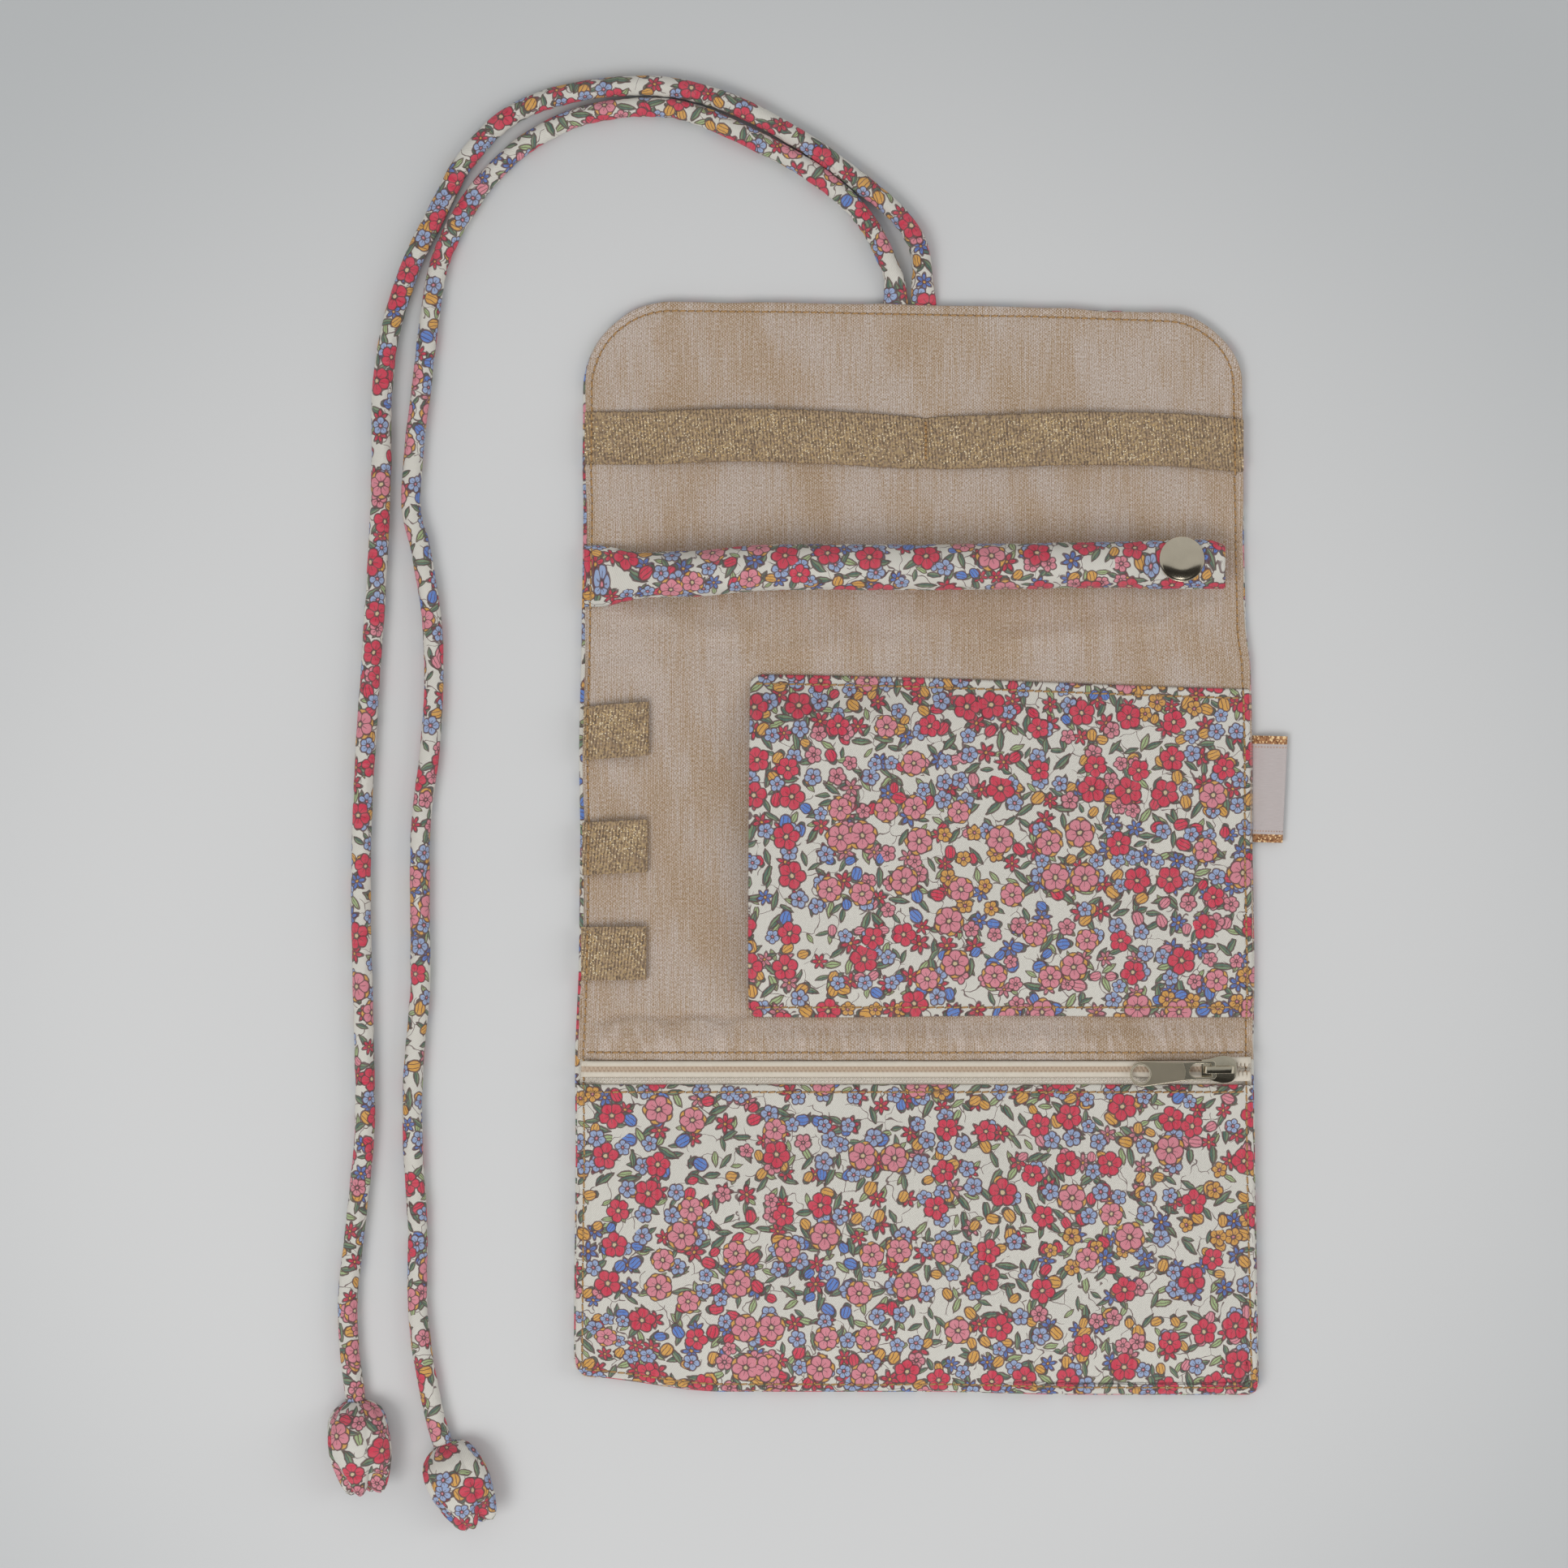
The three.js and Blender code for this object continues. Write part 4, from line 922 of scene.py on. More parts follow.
def nylon():
    """Cream loops, painted a little browner along the middle as shade where their heads mesh, lower than the
    loops' tops
    """
    net = Net("nylon_coil")
    place = net.solid()
    colour = net.mix(net.grain(place, 300), NYLON_DARK, NYLON_LIGHT)
    # Painted shade along the low middle, where the heads mesh
    head_shade = abs(net.split(place)[1] / MM - ZIP_Y).below(0.85, 0.4)
    colour = net.mix(head_shade * 0.85, colour, NYLON_HEAD_SHADE)
    return net.finish(colour, 0.6, net.grain(place, 3000), 0.01, specular_ior_level=0.3)


# Thread and label
STITCH_DARK, STITCH_LIGHT = paint(146, 110, 67), paint(192, 152, 98)
STITCH_HOLE_SHADE = paint(88, 60, 34)
SATIN_DARK, SATIN_LIGHT = paint(182, 172, 169), paint(203, 193, 191)
COPPER_DARK, COPPER, COPPER_GLINT = paint(116, 70, 34), paint(192, 138, 92), paint(250, 214, 160)


def sewing_thread():
    """Each stitch is golden along its middle, with painted shade at its ends where it goes down into the
    cloth
    """
    net = Net("sewing_thread")
    along_stitch, _, _ = net.split(net.place())
    twist = net.grain(net.solid(), 2200, 1)
    colour = net.mix(twist, STITCH_DARK, STITCH_LIGHT)
    # Painted shade at both ends of each stitch
    colour = net.mix(abs(along_stitch - 0.5).above(0.36, 0.12) * 0.8, colour, STITCH_HOLE_SHADE)
    return net.finish(colour, 0.55, twist, 0.05, sheen_weight=0.1)


def satin_label():
    """Plain satin between two metallic edges, each with a dashed hem line beside it"""
    net = Net("satin_label")
    place = net.place()
    x, y, _ = net.split(place)
    floats = net.noise(place, 0.5, stretch=(5, 0.5))
    colour = net.mix(floats * 0.6, SATIN_DARK, SATIN_LIGHT)
    grit = net.split(net.cells(place, 0.42, 1.0).outputs["Color"])
    gold = net.mix(grit[1].above(0.8, 0.05), net.mix(grit[0], COPPER_DARK, COPPER), COPPER_GLINT)
    gold_from = LABEL_HALF - LABEL_GOLD
    edge = abs(y).above(gold_from, 0.1)
    hem_line = abs(abs(y) - (gold_from - 0.9)).below(0.22) * net.wave(x, 0.9).above(-0.2, 0.2)
    colour = net.mix(edge.math("MAXIMUM", hem_line * 0.55), colour, gold)
    return net.finish(colour, 0.4 + edge * 0.15, floats + edge * net.wave(x, 0.5), 0.06, sheen_weight=0.15)


# Camera and light
PHOTO_SIDE = 1932
PIXELS_PER_MM = 4.2
ORIGIN_PIXEL = (1128, 1045)
VIEW_MIDDLE = np.array([PHOTO_SIDE / 2 - ORIGIN_PIXEL[0], ORIGIN_PIXEL[1] - PHOTO_SIDE / 2]) / PIXELS_PER_MM
CAMERA_HEIGHT = 1250.0


def add_camera():
    camera = bpy.data.cameras.new("camera")
    camera.sensor_width = 36
    camera.lens = camera.sensor_width * CAMERA_HEIGHT / (PHOTO_SIDE / PIXELS_PER_MM)
    camera.clip_end = 20
    made = add_object("camera", camera)
    made.location = Vector((*VIEW_MIDDLE, CAMERA_HEIGHT)) * MM
    bpy.context.scene.camera = made


# Each lamp: its name, its place and size in metres, its power in watts, and whether metal shows it
LAMPS = (
    ("key", (-0.95, -0.8, 1.5), (1.1, 0.85), 15.0, False),
    ("front", (0.05, -1.15, 1.35), (0.55, 0.3), 1.6, True),
    ("side", (1.5, 0.15, 0.9), (0.8, 1.2), 6.5, False),
)


def add_lamp(name, place, size, power, glints):
    lamp = bpy.data.lights.new(name, "AREA")
    lamp.shape = "RECTANGLE"
    lamp.size, lamp.size_y = size
    lamp.energy = power
    made = add_object(name, lamp)
    made.location = place
    made.rotation_euler = Vector(place).to_track_quat("Z", "Y").to_euler()
    made.visible_glossy = glints


# What the world shows: its plain light, the backdrop, and a white wall that ends at a height
BACKDROP = paint(187, 189, 189)
WORLD_LIGHT = (0.5, 0.505, 0.515, 1)
WHITE = (1, 1, 1, 1)
WALL_TOP = 0.375
WALL_BLUR = 0.25


def add_world():
    """Plain light, a pale backdrop where it is looked at, and a white wall low down that only metal shows"""
    world = bpy.data.worlds.new("studio")
    bpy.context.scene.world = world
    net = Net("studio", world)
    rays = net.node("ShaderNodeLightPath").outputs
    glossy = Wire(net, rays["Is Glossy Ray"])
    seen = glossy.math("MAXIMUM", rays["Is Camera Ray"]).math("MAXIMUM", rays["Is Transmission Ray"])
    height = net.split(net.node("ShaderNodeTexCoord").outputs["Generated"])[2]
    wall = height.below(WALL_TOP, WALL_BLUR) * glossy
    colour = net.mix(wall, net.mix(seen, WORLD_LIGHT, BACKDROP), WHITE)
    net.feed(net.tree.nodes["Background"].inputs["Color"], colour)


# The floor: its colour is a painted pool of light, with its tones on both sides of the pouch, and from where
# and how softly it fades out to the darker backdrop tone
FLOOR_REACH = 2500.0
FLOOR_MIDDLE = (-50, -36)
FLOOR_RIGHT, FLOOR_LEFT = paint(211, 211, 210), paint(212, 212, 211)
FLOOR_FADE = (265, 200)
GLOW_FADE = (650, 500)
CARD_TONE = paint(44, 41, 37)
CARD_LOW, CARD_HIGH = (-1500, -900), (1500, -140)
CARD_HEIGHT = 1300


def level(low, high, z):
    """A flat piece between two corners"""
    x, y = zip(low, high)
    return np.array([[(x[i], y[j], z) for i in (0, 1)] for j in (0, 1)], float)


def add_floor():
    flat = level((-FLOOR_REACH, -FLOOR_REACH), (FLOOR_REACH, FLOOR_REACH), 0)
    floor = make_piece("floor", [(flat, placed(flat))], upward=True)
    net = Net("pale_floor")
    place = net.place()
    x, y, _ = net.split(place)
    x, y = x - FLOOR_MIDDLE[0], y - FLOOR_MIDDLE[1]
    radius = (x * x + y * y).math("SQRT")
    # Painted light: lighter round the pouch, a little apart on its left and right, and fading to the darker
    # backdrop tone further out
    far = radius.above(*FLOOR_FADE)
    near = net.mix(x.below(-110, 180), FLOOR_RIGHT, FLOOR_LEFT)
    colour = net.mix(far * far * (3 - 2 * far), near, BACKDROP)
    material = net.finish(colour, 0.7, specular_ior_level=0.2)
    floor.data.materials.append(material)
    rays = net.node("ShaderNodeLightPath")
    seen = Wire(net, rays.outputs["Is Camera Ray"]).math("MAXIMUM", Wire(net, rays.outputs["Is Glossy Ray"]))
    glow = net.node("ShaderNodeEmission", {"Color": BACKDROP, "Strength": 1.0})
    output = next(n for n in net.tree.nodes if n.type == "OUTPUT_MATERIAL")
    blend = net.node("ShaderNodeMixShader", {
        0: seen * radius.above(*GLOW_FADE), 1: net.shader.outputs[0], 2: glow.outputs[0]})
    net.feed(output.inputs["Surface"], blend.outputs[0])


def add_card():
    """A dark card above the front edge of the scene, which only shows in shiny metal"""
    flat = level(CARD_LOW, CARD_HIGH, CARD_HEIGHT)
    card = make_piece("dark_card", [(flat, placed(flat))])
    net = Net("dark_card")
    card.data.materials.append(net.finish(CARD_TONE, 0.9))
    for ray in ("camera", "diffuse", "transmission", "volume_scatter", "shadow"):
        setattr(card, "visible_" + ray, False)


# Tie cords: the same two routes as in the CAD source, from the flap's seam to the tips
RIGHT_ROUTE = [
    (2.4, 155.8), (2.0, 165.5), (1.7, 171.4), (0.3, 177.2), (-2.9, 182.6), (-8.4, 188.4),
    (-15.6, 194.2), (-23.3, 200.1), (-31.2, 205.7), (-39.4, 210.6), (-47.6, 215.0),
    (-58.0, 219.4), (-69.5, 222.3), (-79.4, 223.2), (-88.9, 222.8), (-98.3, 221.5),
    (-107.8, 219.2), (-116.0, 215.8), (-123.0, 211.0), (-128.9, 204.8), (-133.7, 198.4),
    (-137.7, 191.0), (-141.4, 183.6), (-145.2, 176.3), (-149.7, 165.2), (-153.9, 150.8),
    (-156.2, 133.5), (-156.4, 113.3), (-157.4, 86.4), (-158.9, 62.1), (-160.5, 37.9),
    (-162.0, 10.0), (-162.4, -16.2), (-161.6, -53.0), (-161.3, -82.0), (-164.0, -110.2),
    (-166.2, -131.0), (-165.8, -146.0), (-164.0, -161.6),
]
LEFT_ROUTE = [
    (-5.8, 155.8), (-6.4, 166.5), (-9.1, 173.6), (-12.8, 181.0), (-17.2, 186.9),
    (-23.4, 192.8), (-30.4, 198.0), (-38.0, 202.6), (-47.2, 207.3), (-55.0, 211.0),
    (-62.6, 214.2), (-70.6, 216.4), (-79.4, 217.0), (-88.9, 216.2), (-98.2, 214.2),
    (-106.0, 211.0), (-114.1, 206.2), (-120.9, 200.5), (-127.2, 193.6), (-132.3, 186.2),
    (-136.4, 178.6), (-139.6, 170.5), (-142.2, 156.5), (-144.2, 139.2), (-147.2, 113.3),
    (-147.6, 98.8), (-144.8, 86.4), (-141.9, 68.2), (-141.1, 50.0), (-142.3, 28.7),
    (-144.8, 8.1), (-145.2, -16.2), (-145.1, -40.5), (-147.2, -66.7), (-147.2, -87.0),
    (-145.9, -110.0), (-145.7, -136.0), (-143.6, -152.8), (-140.6, -167.0), (-138.5, -174.4),
]
CORD_DIAMETER = 5.8
CORD_HEIGHT = 2.68
CORD_STEP = 1.1
CORD_SIDES = 24
SEWN_HEIGHT = 1.4
SEWN_LENGTH = 16
CREASE_PITCH = 4.3
CREASE_DEPTH = 0.34
DENT_DEPTH = 0.13
CORD_SEAM_DEPTH = 0.22


def smooth_route(route):
    """The centripetal curve through a route's points, at even steps"""
    points = np.array(route, float)
    points = np.vstack([2 * points[0] - points[1], points, 2 * points[-1] - points[-2]])
    dense = []
    for four in (points[i:i + 4] for i in range(len(points) - 3)):
        knots = np.concatenate([[0], np.cumsum(np.sqrt(np.linalg.norm(np.diff(four, axis=0), axis=1)))])

        def between(a, b, start, stop):
            return a + (b - a) * (t - knots[start]) / (knots[stop] - knots[start])

        for t in np.linspace(knots[1], knots[2], 24, endpoint=False):
            low = [between(four[k], four[k + 1], k, k + 1) for k in range(3)]
            mid = [between(low[k], low[k + 1], k, k + 2) for k in range(2)]
            dense.append(between(*mid, 1, 2))
    dense.append(points[-2])
    dense = np.array(dense)
    length = distances(dense)
    at = np.linspace(0, length[-1], int(length[-1] / CORD_STEP) + 1)
    return np.stack(sampled(at, length, dense), axis=-1), at


def add_cord(name, route, seed, shift):
    """A stuffed cloth cord: flat where it is sewn in, creased where it bends, with a seam along its side"""
    centre, at = smooth_route(route)
    way = np.gradient(centre, at, axis=0)
    way /= np.linalg.norm(way, axis=1)[:, None]
    side = np.stack([-way[:, 1], way[:, 0]], axis=-1)
    bending = np.gradient(np.unwrap(np.arctan2(way[:, 1], way[:, 0])), at)
    sewn = 1 - ease(at / SEWN_LENGTH)
    angle = TURN * steps(CORD_SIDES)[None, :] + math.pi * 1.5
    radius = CORD_DIAMETER / 2
    swell = 1 + 0.035 * soft_noise(at / 9, 0.5, seed) + 0.02 * soft_noise(at / 3, 0.5, seed + 1)
    wide = radius * mix(swell, 1.32, sewn)
    high = radius * mix(0.95 * swell, 0.3, sewn)
    inner = np.clip(np.sign(bending)[:, None] * np.cos(angle), 0, 1)
    inner = inner * np.minimum(np.abs(bending) * 34, 1)[:, None]
    drift = 2.5 * soft_noise(at / 11, 1.5, seed)[:, None]
    crease = inner * CREASE_DEPTH * (0.5 + 0.5 * np.sin(at[:, None] * TURN / CREASE_PITCH + drift))
    dents = DENT_DEPTH * rough_noise(at[:, None] / 5, 3 * np.cos(angle) + 7, seed + 3)
    seam_angle = math.pi * 0.98 if seed % 2 else math.pi * 0.25
    seam = CORD_SEAM_DEPTH * bell(np.angle(np.exp(1j * (angle - seam_angle))), 0.13)
    shrink = 1 - (crease + seam - dents) / radius
    out = np.cos(angle) * wide[:, None] * shrink
    up = np.sin(angle) * high[:, None] * shrink
    height = mix(CORD_HEIGHT, SEWN_HEIGHT, sewn)
    rings = np.dstack([
        centre[:, None, 0] + side[:, None, 0] * out,
        centre[:, None, 1] + side[:, None, 1] * out,
        np.maximum(height[:, None] + up, 0.02),
    ])
    around = steps(CORD_SIDES)[None, :] * math.pi * CORD_DIAMETER
    places = grid(at[:, None] + shift, around + shift * 0.7)
    cord = dress(make_piece(name + "_cloth", closed_tube(rings, places)), PRINT)
    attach(cord, "flap")
    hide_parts(name)
    return cord


# Tulip tips. Their profile is pairs of share of the length and of the width, and turns in at the mouth.
TIP_HALF_WIDTH = 9.2
TIP_HALF_HEIGHT = 6.4
TIP_SIDES = 72
TIP_PROFILE = [
    (0, 0.01), (0, 0.33), (0.015, 0.42), (0.05, 0.6), (0.1, 0.76), (0.18, 0.89), (0.28, 0.965),
    (0.4, 1), (0.52, 1), (0.64, 0.965), (0.75, 0.9), (0.85, 0.82), (0.92, 0.74), (0.97, 0.64),
    (1.0, 0.5), (0.985, 0.36), (0.95, 0.22), (0.91, 0.1), (0.9, 0.02),
]
TIP_MOUTH = 14

# Each cord's side, route, seed and place on the printed cloth, then its tip's place, length and turn
CORDS = (
    ("right", RIGHT_ROUTE, 2, 400, (210, 27.0, 0.0)),
    ("left", LEFT_ROUTE, 5, 1100, (330, 25.5, math.radians(9))),
)


def add_tip(name, route, seed, shift, full_length, sideways):
    """A stuffed tulip: gathered at its neck, its mouth drawn together in four petals"""
    centre, _ = smooth_route(route)
    way = unit(centre[-1] - centre[-6])
    way = way * math.cos(sideways) + np.array([-way[1], way[0]]) * math.sin(sideways)
    side = np.array([-way[1], way[0]])
    share, size = np.array(TIP_PROFILE).T
    outer = np.arange(len(share)) < TIP_MOUTH
    tail = np.where(outer, share, 1.0)
    angle = TURN * steps(TIP_SIDES)[None, :]
    petal = np.cos(2 * angle - 0.6) ** 2
    open_end = ease((tail - 0.45) / 0.55)[:, None]
    gather = (1 - ease(share / 0.4))[:, None] * 0.08 * np.cos(13 * angle + seed)
    groove = 0.1 * bell((angle * 2 / math.pi + seed * 0.37) % 1 - 0.5, 0.06)
    dimple = 1 - 0.34 * open_end * (1 - petal) ** 1.5
    lumps = 0.03 * rough_noise(share[:, None] * 3, 1.4 * np.cos(angle) + 5, seed)
    swell = size[:, None] * (dimple + gather - groove + lumps)
    reach = share[:, None] * full_length - 2.6 * open_end * (1 - petal) * (share[:, None] > 0.8)
    across = TIP_HALF_WIDTH * swell * np.cos(angle)
    axis = mix(CORD_HEIGHT + 0.1, TIP_HALF_HEIGHT, ease(share / 0.3))[:, None]
    height = axis + TIP_HALF_HEIGHT * swell * np.sin(angle)
    start = centre[-1] + way * 0.1
    rings = np.dstack([
        start[0] + way[0] * reach + side[0] * across,
        start[1] + way[1] * reach + side[1] * across,
        np.maximum(height, 0.03),
    ])
    long = distances(np.column_stack([share * full_length, size * TIP_HALF_WIDTH]))
    places = grid(long[:, None] + shift, steps(TIP_SIDES)[None, :] * TURN * TIP_HALF_WIDTH * 0.85 + shift)
    tip = dress(make_piece(name + "_cloth", [(rings, places)]), PRINT)
    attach(tip, "flap")
    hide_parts(name)
    return tip


# Panels: the width of their faces' cells, and where on the printed cloth each piece is cut
GRID = 1.9
SHELL_CUT = (7, 3)
FRONT_CUT = (31, 57)
PATCH_CUT = (3, 88)
ROLL_CUT = (15, 310)


def upper_corners(low, high):
    half = half_width(high)
    left, right = TOP_CORNERS
    return [(-half_width(low), low, 0), (-half, high, left), (half, high, right), (half_width(low), low, 0)]


def lower_corners(high, low):
    half = half_width(low)
    right, left = BASE_CORNERS
    wide = half_width(high)
    return [(wide, high, 0), (half, low, right), (-half, low, left), (-wide, high, 0)]


def counts(width, length):
    return round(length / GRID), round(width / GRID)


def add_panels():
    """The printed shell and the lining, each in two pieces that meet in the middle of the middle panel"""
    upper, lower = upper_corners(CUT, TOP), lower_corners(CUT, BASE)
    rows_up, columns = counts(2 * HALF_FOLD, TOP - CUT)
    rows_down, _ = counts(2 * HALF_FOLD, CUT - BASE)
    for name, corners, rows, zone, end in (
        ("shell_upper", upper, rows_up, UPPER_BEND, "flap"),
        ("shell_lower", lower, rows_down, LOWER_BEND, "pocket"),
    ):
        patches = panel(corners, rows, columns, shell_height, SHELL_RIM, SHELL_CUT)
        shell = make_piece(name, patches, sewn=True)
        bend(thicken(dress(shell, PRINT), SHELL_CLOTH, 1), zone)
        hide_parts(f"shell_{end}", f"wadding_{end}", "shell_middle", "wadding_middle")
        span = abs(corners[0][1] - corners[1][1])
        (span + TURNED_IN) * MM
    patches = panel(upper, rows_up, columns, lining_height, LINING_RIM)
    lining = make_piece("lining_upper", patches, upward=True, sewn=True)
    bend(thicken(dress(lining, LINING), LINING_CLOTH), UPPER_BEND)
    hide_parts("lining_flap", "lining_middle")
    (TOP - CUT) * MM
    rows, _ = counts(0, 2 * (CUT - FACING_EDGE))
    facing = side_grid(FACING_EDGE, CUT, rows, columns, lining_height, LINING_RIM)
    facing = make_piece("lining_lower", hem(facing, 0), upward=True, sewn=True)
    bend(thicken(dress(facing, LINING), LINING_CLOTH), LOWER_BEND)
    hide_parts("zip_facing", "lining_middle")
    (CUT - FACING_EDGE + HEM_DEPTH) * MM


def side_grid(low, high, rows, columns, height, rim):
    """A panel between two level edges: its face runs to both side seams and its rims go down beside it"""
    y = mix(low, high, steps(rows))
    half = half_width(y) - RIM
    x = mix(-half[:, None], half[:, None], steps(columns)[None, :])
    across = np.broadcast_to(y[:, None], x.shape)
    patches = [(np.dstack([x, across, height(x, across)]), np.dstack([x, across]))]
    for sign in (-1, 1):
        side = np.column_stack([sign * half_width(y), y])
        patches.append(rim_grid(side, np.array([sign, 0]), height, rim))
    return patches


def hem(patches, row):
    """Turns the cloth under along a level edge. row is the edge's row in the face."""
    face, places = patches[0]
    edge, edge_places = face[row], places[row]
    inward = np.sign(face[row + (1 if row == 0 else -1)][0][1] - edge[0][1])
    rings, spots = [], []
    for step, drop in ((0, 0), (-0.28, -0.22), (-0.3, -0.5), (0.2, -0.68), (HEM_DEPTH, -0.7)):
        rings.append(edge + np.array([0, inward * step, drop]))
        spots.append(edge_places + np.array([0, -inward * (abs(step) + abs(drop))]))
    return [*patches, (np.array(rings), np.array(spots))]


def add_front():
    """The zip pocket: its printed front, the front's own lining, and the back lining"""
    corners = lower_corners(FRONT_EDGE, BASE)
    rows, columns = counts(2 * HALF_BASE, FRONT_EDGE - BASE)
    patches = panel(corners, rows, columns, front_height, FRONT_RIM, FRONT_CUT)
    front = make_piece("pocket_front_cloth", hem(patches, 0), upward=True, sewn=True)
    dress(thicken(front, FRONT_CLOTH), PRINT)
    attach(front, "pocket")
    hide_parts("pocket_front")

    def front_lining(x, y):
        return front_height(x, y) - FRONT_LINING_UNDER

    def back_lining(x, y):
        return LINING_TOP - BACK_LINING_UNDER + 0.1 * rough_noise(x / 14, y / 14, 61)

    x_steps, y_steps = 60, 36
    y = mix(BASE + 3, FRONT_EDGE - 4, steps(y_steps))[:, None]
    x = (half_width(y) - 4) * (2 * steps(x_steps)[None, :] - 1)
    y = np.broadcast_to(y, x.shape)
    for name, node, height, thickness in (
        ("pocket_front_lining_cloth", "pocket_front_lining", front_lining, 0.3),
        ("pocket_back_lining", "lining_pocket", back_lining, 0.4),
    ):
        points = np.dstack([x, y, height(x, y)])
        cloth = dress(slab(name, points, placed(points), thickness, sewn=True), LINING)
        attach(cloth, "pocket")
        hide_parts(node)


PATCH_LEFT = box("patch_pocket")[0][0]
PATCH_LOW = box("patch_pocket")[0][1]
PATCH_HIGH = box("patch_pocket")[1][1]
PATCH_DROP = 4.1
PATCH_TOP = 4.25
PATCH_STAND = 3.6


def patch_top_edge(x):
    share = (x - PATCH_LEFT) / (HALF_BASE - PATCH_LEFT)
    return PATCH_HIGH - PATCH_DROP * share + 0.35 * np.sin(share * 5)


def patch_height(x, y):
    """The patch pocket stands off the lining at its mouth, and its sewn edges are held down"""
    top_edge = patch_top_edge(x)
    sewn = np.minimum(top_edge - y, y - PATCH_LOW)
    side = half_width(y) - x
    stand = PATCH_STAND * ease(sewn / 17) * (1 - ease((x - PATCH_LEFT - 20) / 78))
    full = ease(sewn / 12) * ease(side / 18)
    groove = 0.3 * bell(sewn - STITCH_INSET, 0.5)
    drop = 0.5 * (1 - ease(side / 2.6)) + 1.1 * (1 - ease((side - 0.25) / 0.7))
    corner = ridge(x, y, PATCH_LEFT + 2, PATCH_HIGH - 3, PATCH_LEFT + 26, PATCH_HIGH - 26, 2.4, 0.7)
    corner = corner + ridge(x, y, PATCH_LEFT + 1, PATCH_LOW + 4, PATCH_LEFT + 22, PATCH_LOW + 20, 2.2, 0.5)
    pucker = 0.17 * soft_noise(x / 3.3, np.sign(y) * 4.0, 71) * bell(sewn - 5, 3.4)
    soft = ease((sewn - 2) / 6) * ease((side - 2) / 6)
    waves = 0.3 * rough_noise(x / 14, y / 17, 73) + 0.12 * rough_noise(x / 5, y / 7, 75)
    return PATCH_TOP + stand + full - groove - drop + corner + pucker + soft * waves


def add_patch():
    across, upward = 92, 66
    u = np.sort(np.concatenate([steps(across), [0.004, 0.9985, 0.9955, 0.9925]]))[None, :]
    v = np.sort(np.concatenate([steps(upward), [0.006, 0.994]]))[:, None]
    x = mix(PATCH_LEFT, HALF_FOLD, u)
    for _ in range(2):
        y = mix(PATCH_LOW, patch_top_edge(x), v)
        right = half_width(y) - 0.25
        x = mix(PATCH_LEFT + 0.3 + 0.6 * v**2, right, u)
    corner = 1.9 * (1 - ease((x - PATCH_LEFT + 0.3) / 2.4)) * (1 - v) ** 9
    corner = corner - 1.8 * (1 - ease((x - PATCH_LEFT) / 3.6)) * v**9
    y = mix(PATCH_LOW + 0.25 * np.sin(x / 17), patch_top_edge(x), v) + corner
    points = np.dstack([x, y, patch_height(x, y)])
    patch = slab("patch_pocket_cloth", points, placed(points, PATCH_CUT), PATCH_CLOTH, sewn=True)
    dress(patch, PRINT)
    bend(patch, UPPER_BEND)
    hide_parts("patch_pocket")


# Ribbons
BAND_WIDTH = 15.0
RIB_PITCH = 0.94
BAND_LINE = [
    (-104, 120), (-90, 120), (-78, 119.9), (-64, 120.5), (-50, 120.8), (-33, 120.4), (-22, 119.9), (-7, 119),
    (2.5, 118.5), (17, 118.8), (30, 119.2), (42, 119.7), (55, 119.8), (77, 119.3), (90, 118.2), (100, 117.4),
]
BAND_Y = 119.8
TACK_X = 2.9
BAND_TOP = 4.0


def add_band():
    """The earring band: two shallow bows on each side of its tack, sewn into both side seams"""
    left, right = -half_width(BAND_Y) + 0.4, half_width(BAND_Y) - 0.2 - FLAP_PULL[1]
    x = mix(left, right, close_ends(170))[None, :]
    v = close_ends(12)[:, None]
    reach = np.where(x < TACK_X, left, right)
    share = (x - TACK_X) / (reach - TACK_X)
    bow = 1.25 * np.sin(np.pi * share) ** 0.8 - 0.55 * bell(x - TACK_X, 1.6)
    press = -0.35 * (1 - ease(np.minimum(x - left, right - x) / 3.5))
    line, _ = smooth_route(BAND_LINE)
    centre = np.interp(x, line[:, 0], line[:, 1])
    pinch = 1 - 0.06 * bell(x - TACK_X, 3)
    ribs = 0.05 * np.sin(x * TURN / RIB_PITCH) * (2 * v - 1)
    y = centre + (v - 0.5) * BAND_WIDTH * pinch + ribs
    curl = 0.25 * np.cos(np.pi * v) ** 2 * np.sin(x / 13)
    waves = 0.12 * rough_noise(x / 9, v * 2 + x * 0, 81)
    z = BAND_TOP + bow + press + curl + waves
    points = grid(x, y, z)
    places = grid(x, (v - 0.5) * BAND_WIDTH)
    band = dress(slab("earring_band_ribbon", points, places, BAND_CLOTH), RIBBON)
    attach(band, "flap")
    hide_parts("earring_band")
    (right - left) * MM


RIBBON_STEP = 0.35
LOOP_SLANTS = (1.5, 0.9, 0.2)
LOOP_FOLD_RADIUS = 0.92


def folded_ribbon(name, path, widths, y, slant, thickness, material, shift=0.0, taper=0.0):
    """A ribbon along a path of x and z. slant turns it, and taper makes its lower side reach out less."""
    path = np.array(path)
    length = distances(path)
    at = np.linspace(0, length[-1], int(length[-1] / RIBBON_STEP) + 1)
    x, z = sampled(at, length, path)
    v = close_ends(10)[:, None] - 0.5
    middle = y + slant * ((x - x.min()) / (x.max() - x.min()) - 0.5)
    x = x.min() + (x - x.min())[None] * (1 - taper * (0.5 - v))
    points = grid(x, middle[None] + v * widths, z[None] + 0.1 * np.cos(TURN * v))
    places = grid(at[None] + shift, v * widths)
    piece = dress(make_piece(name, [(points, places)]), material)
    return thicken(piece, thickness, 0)


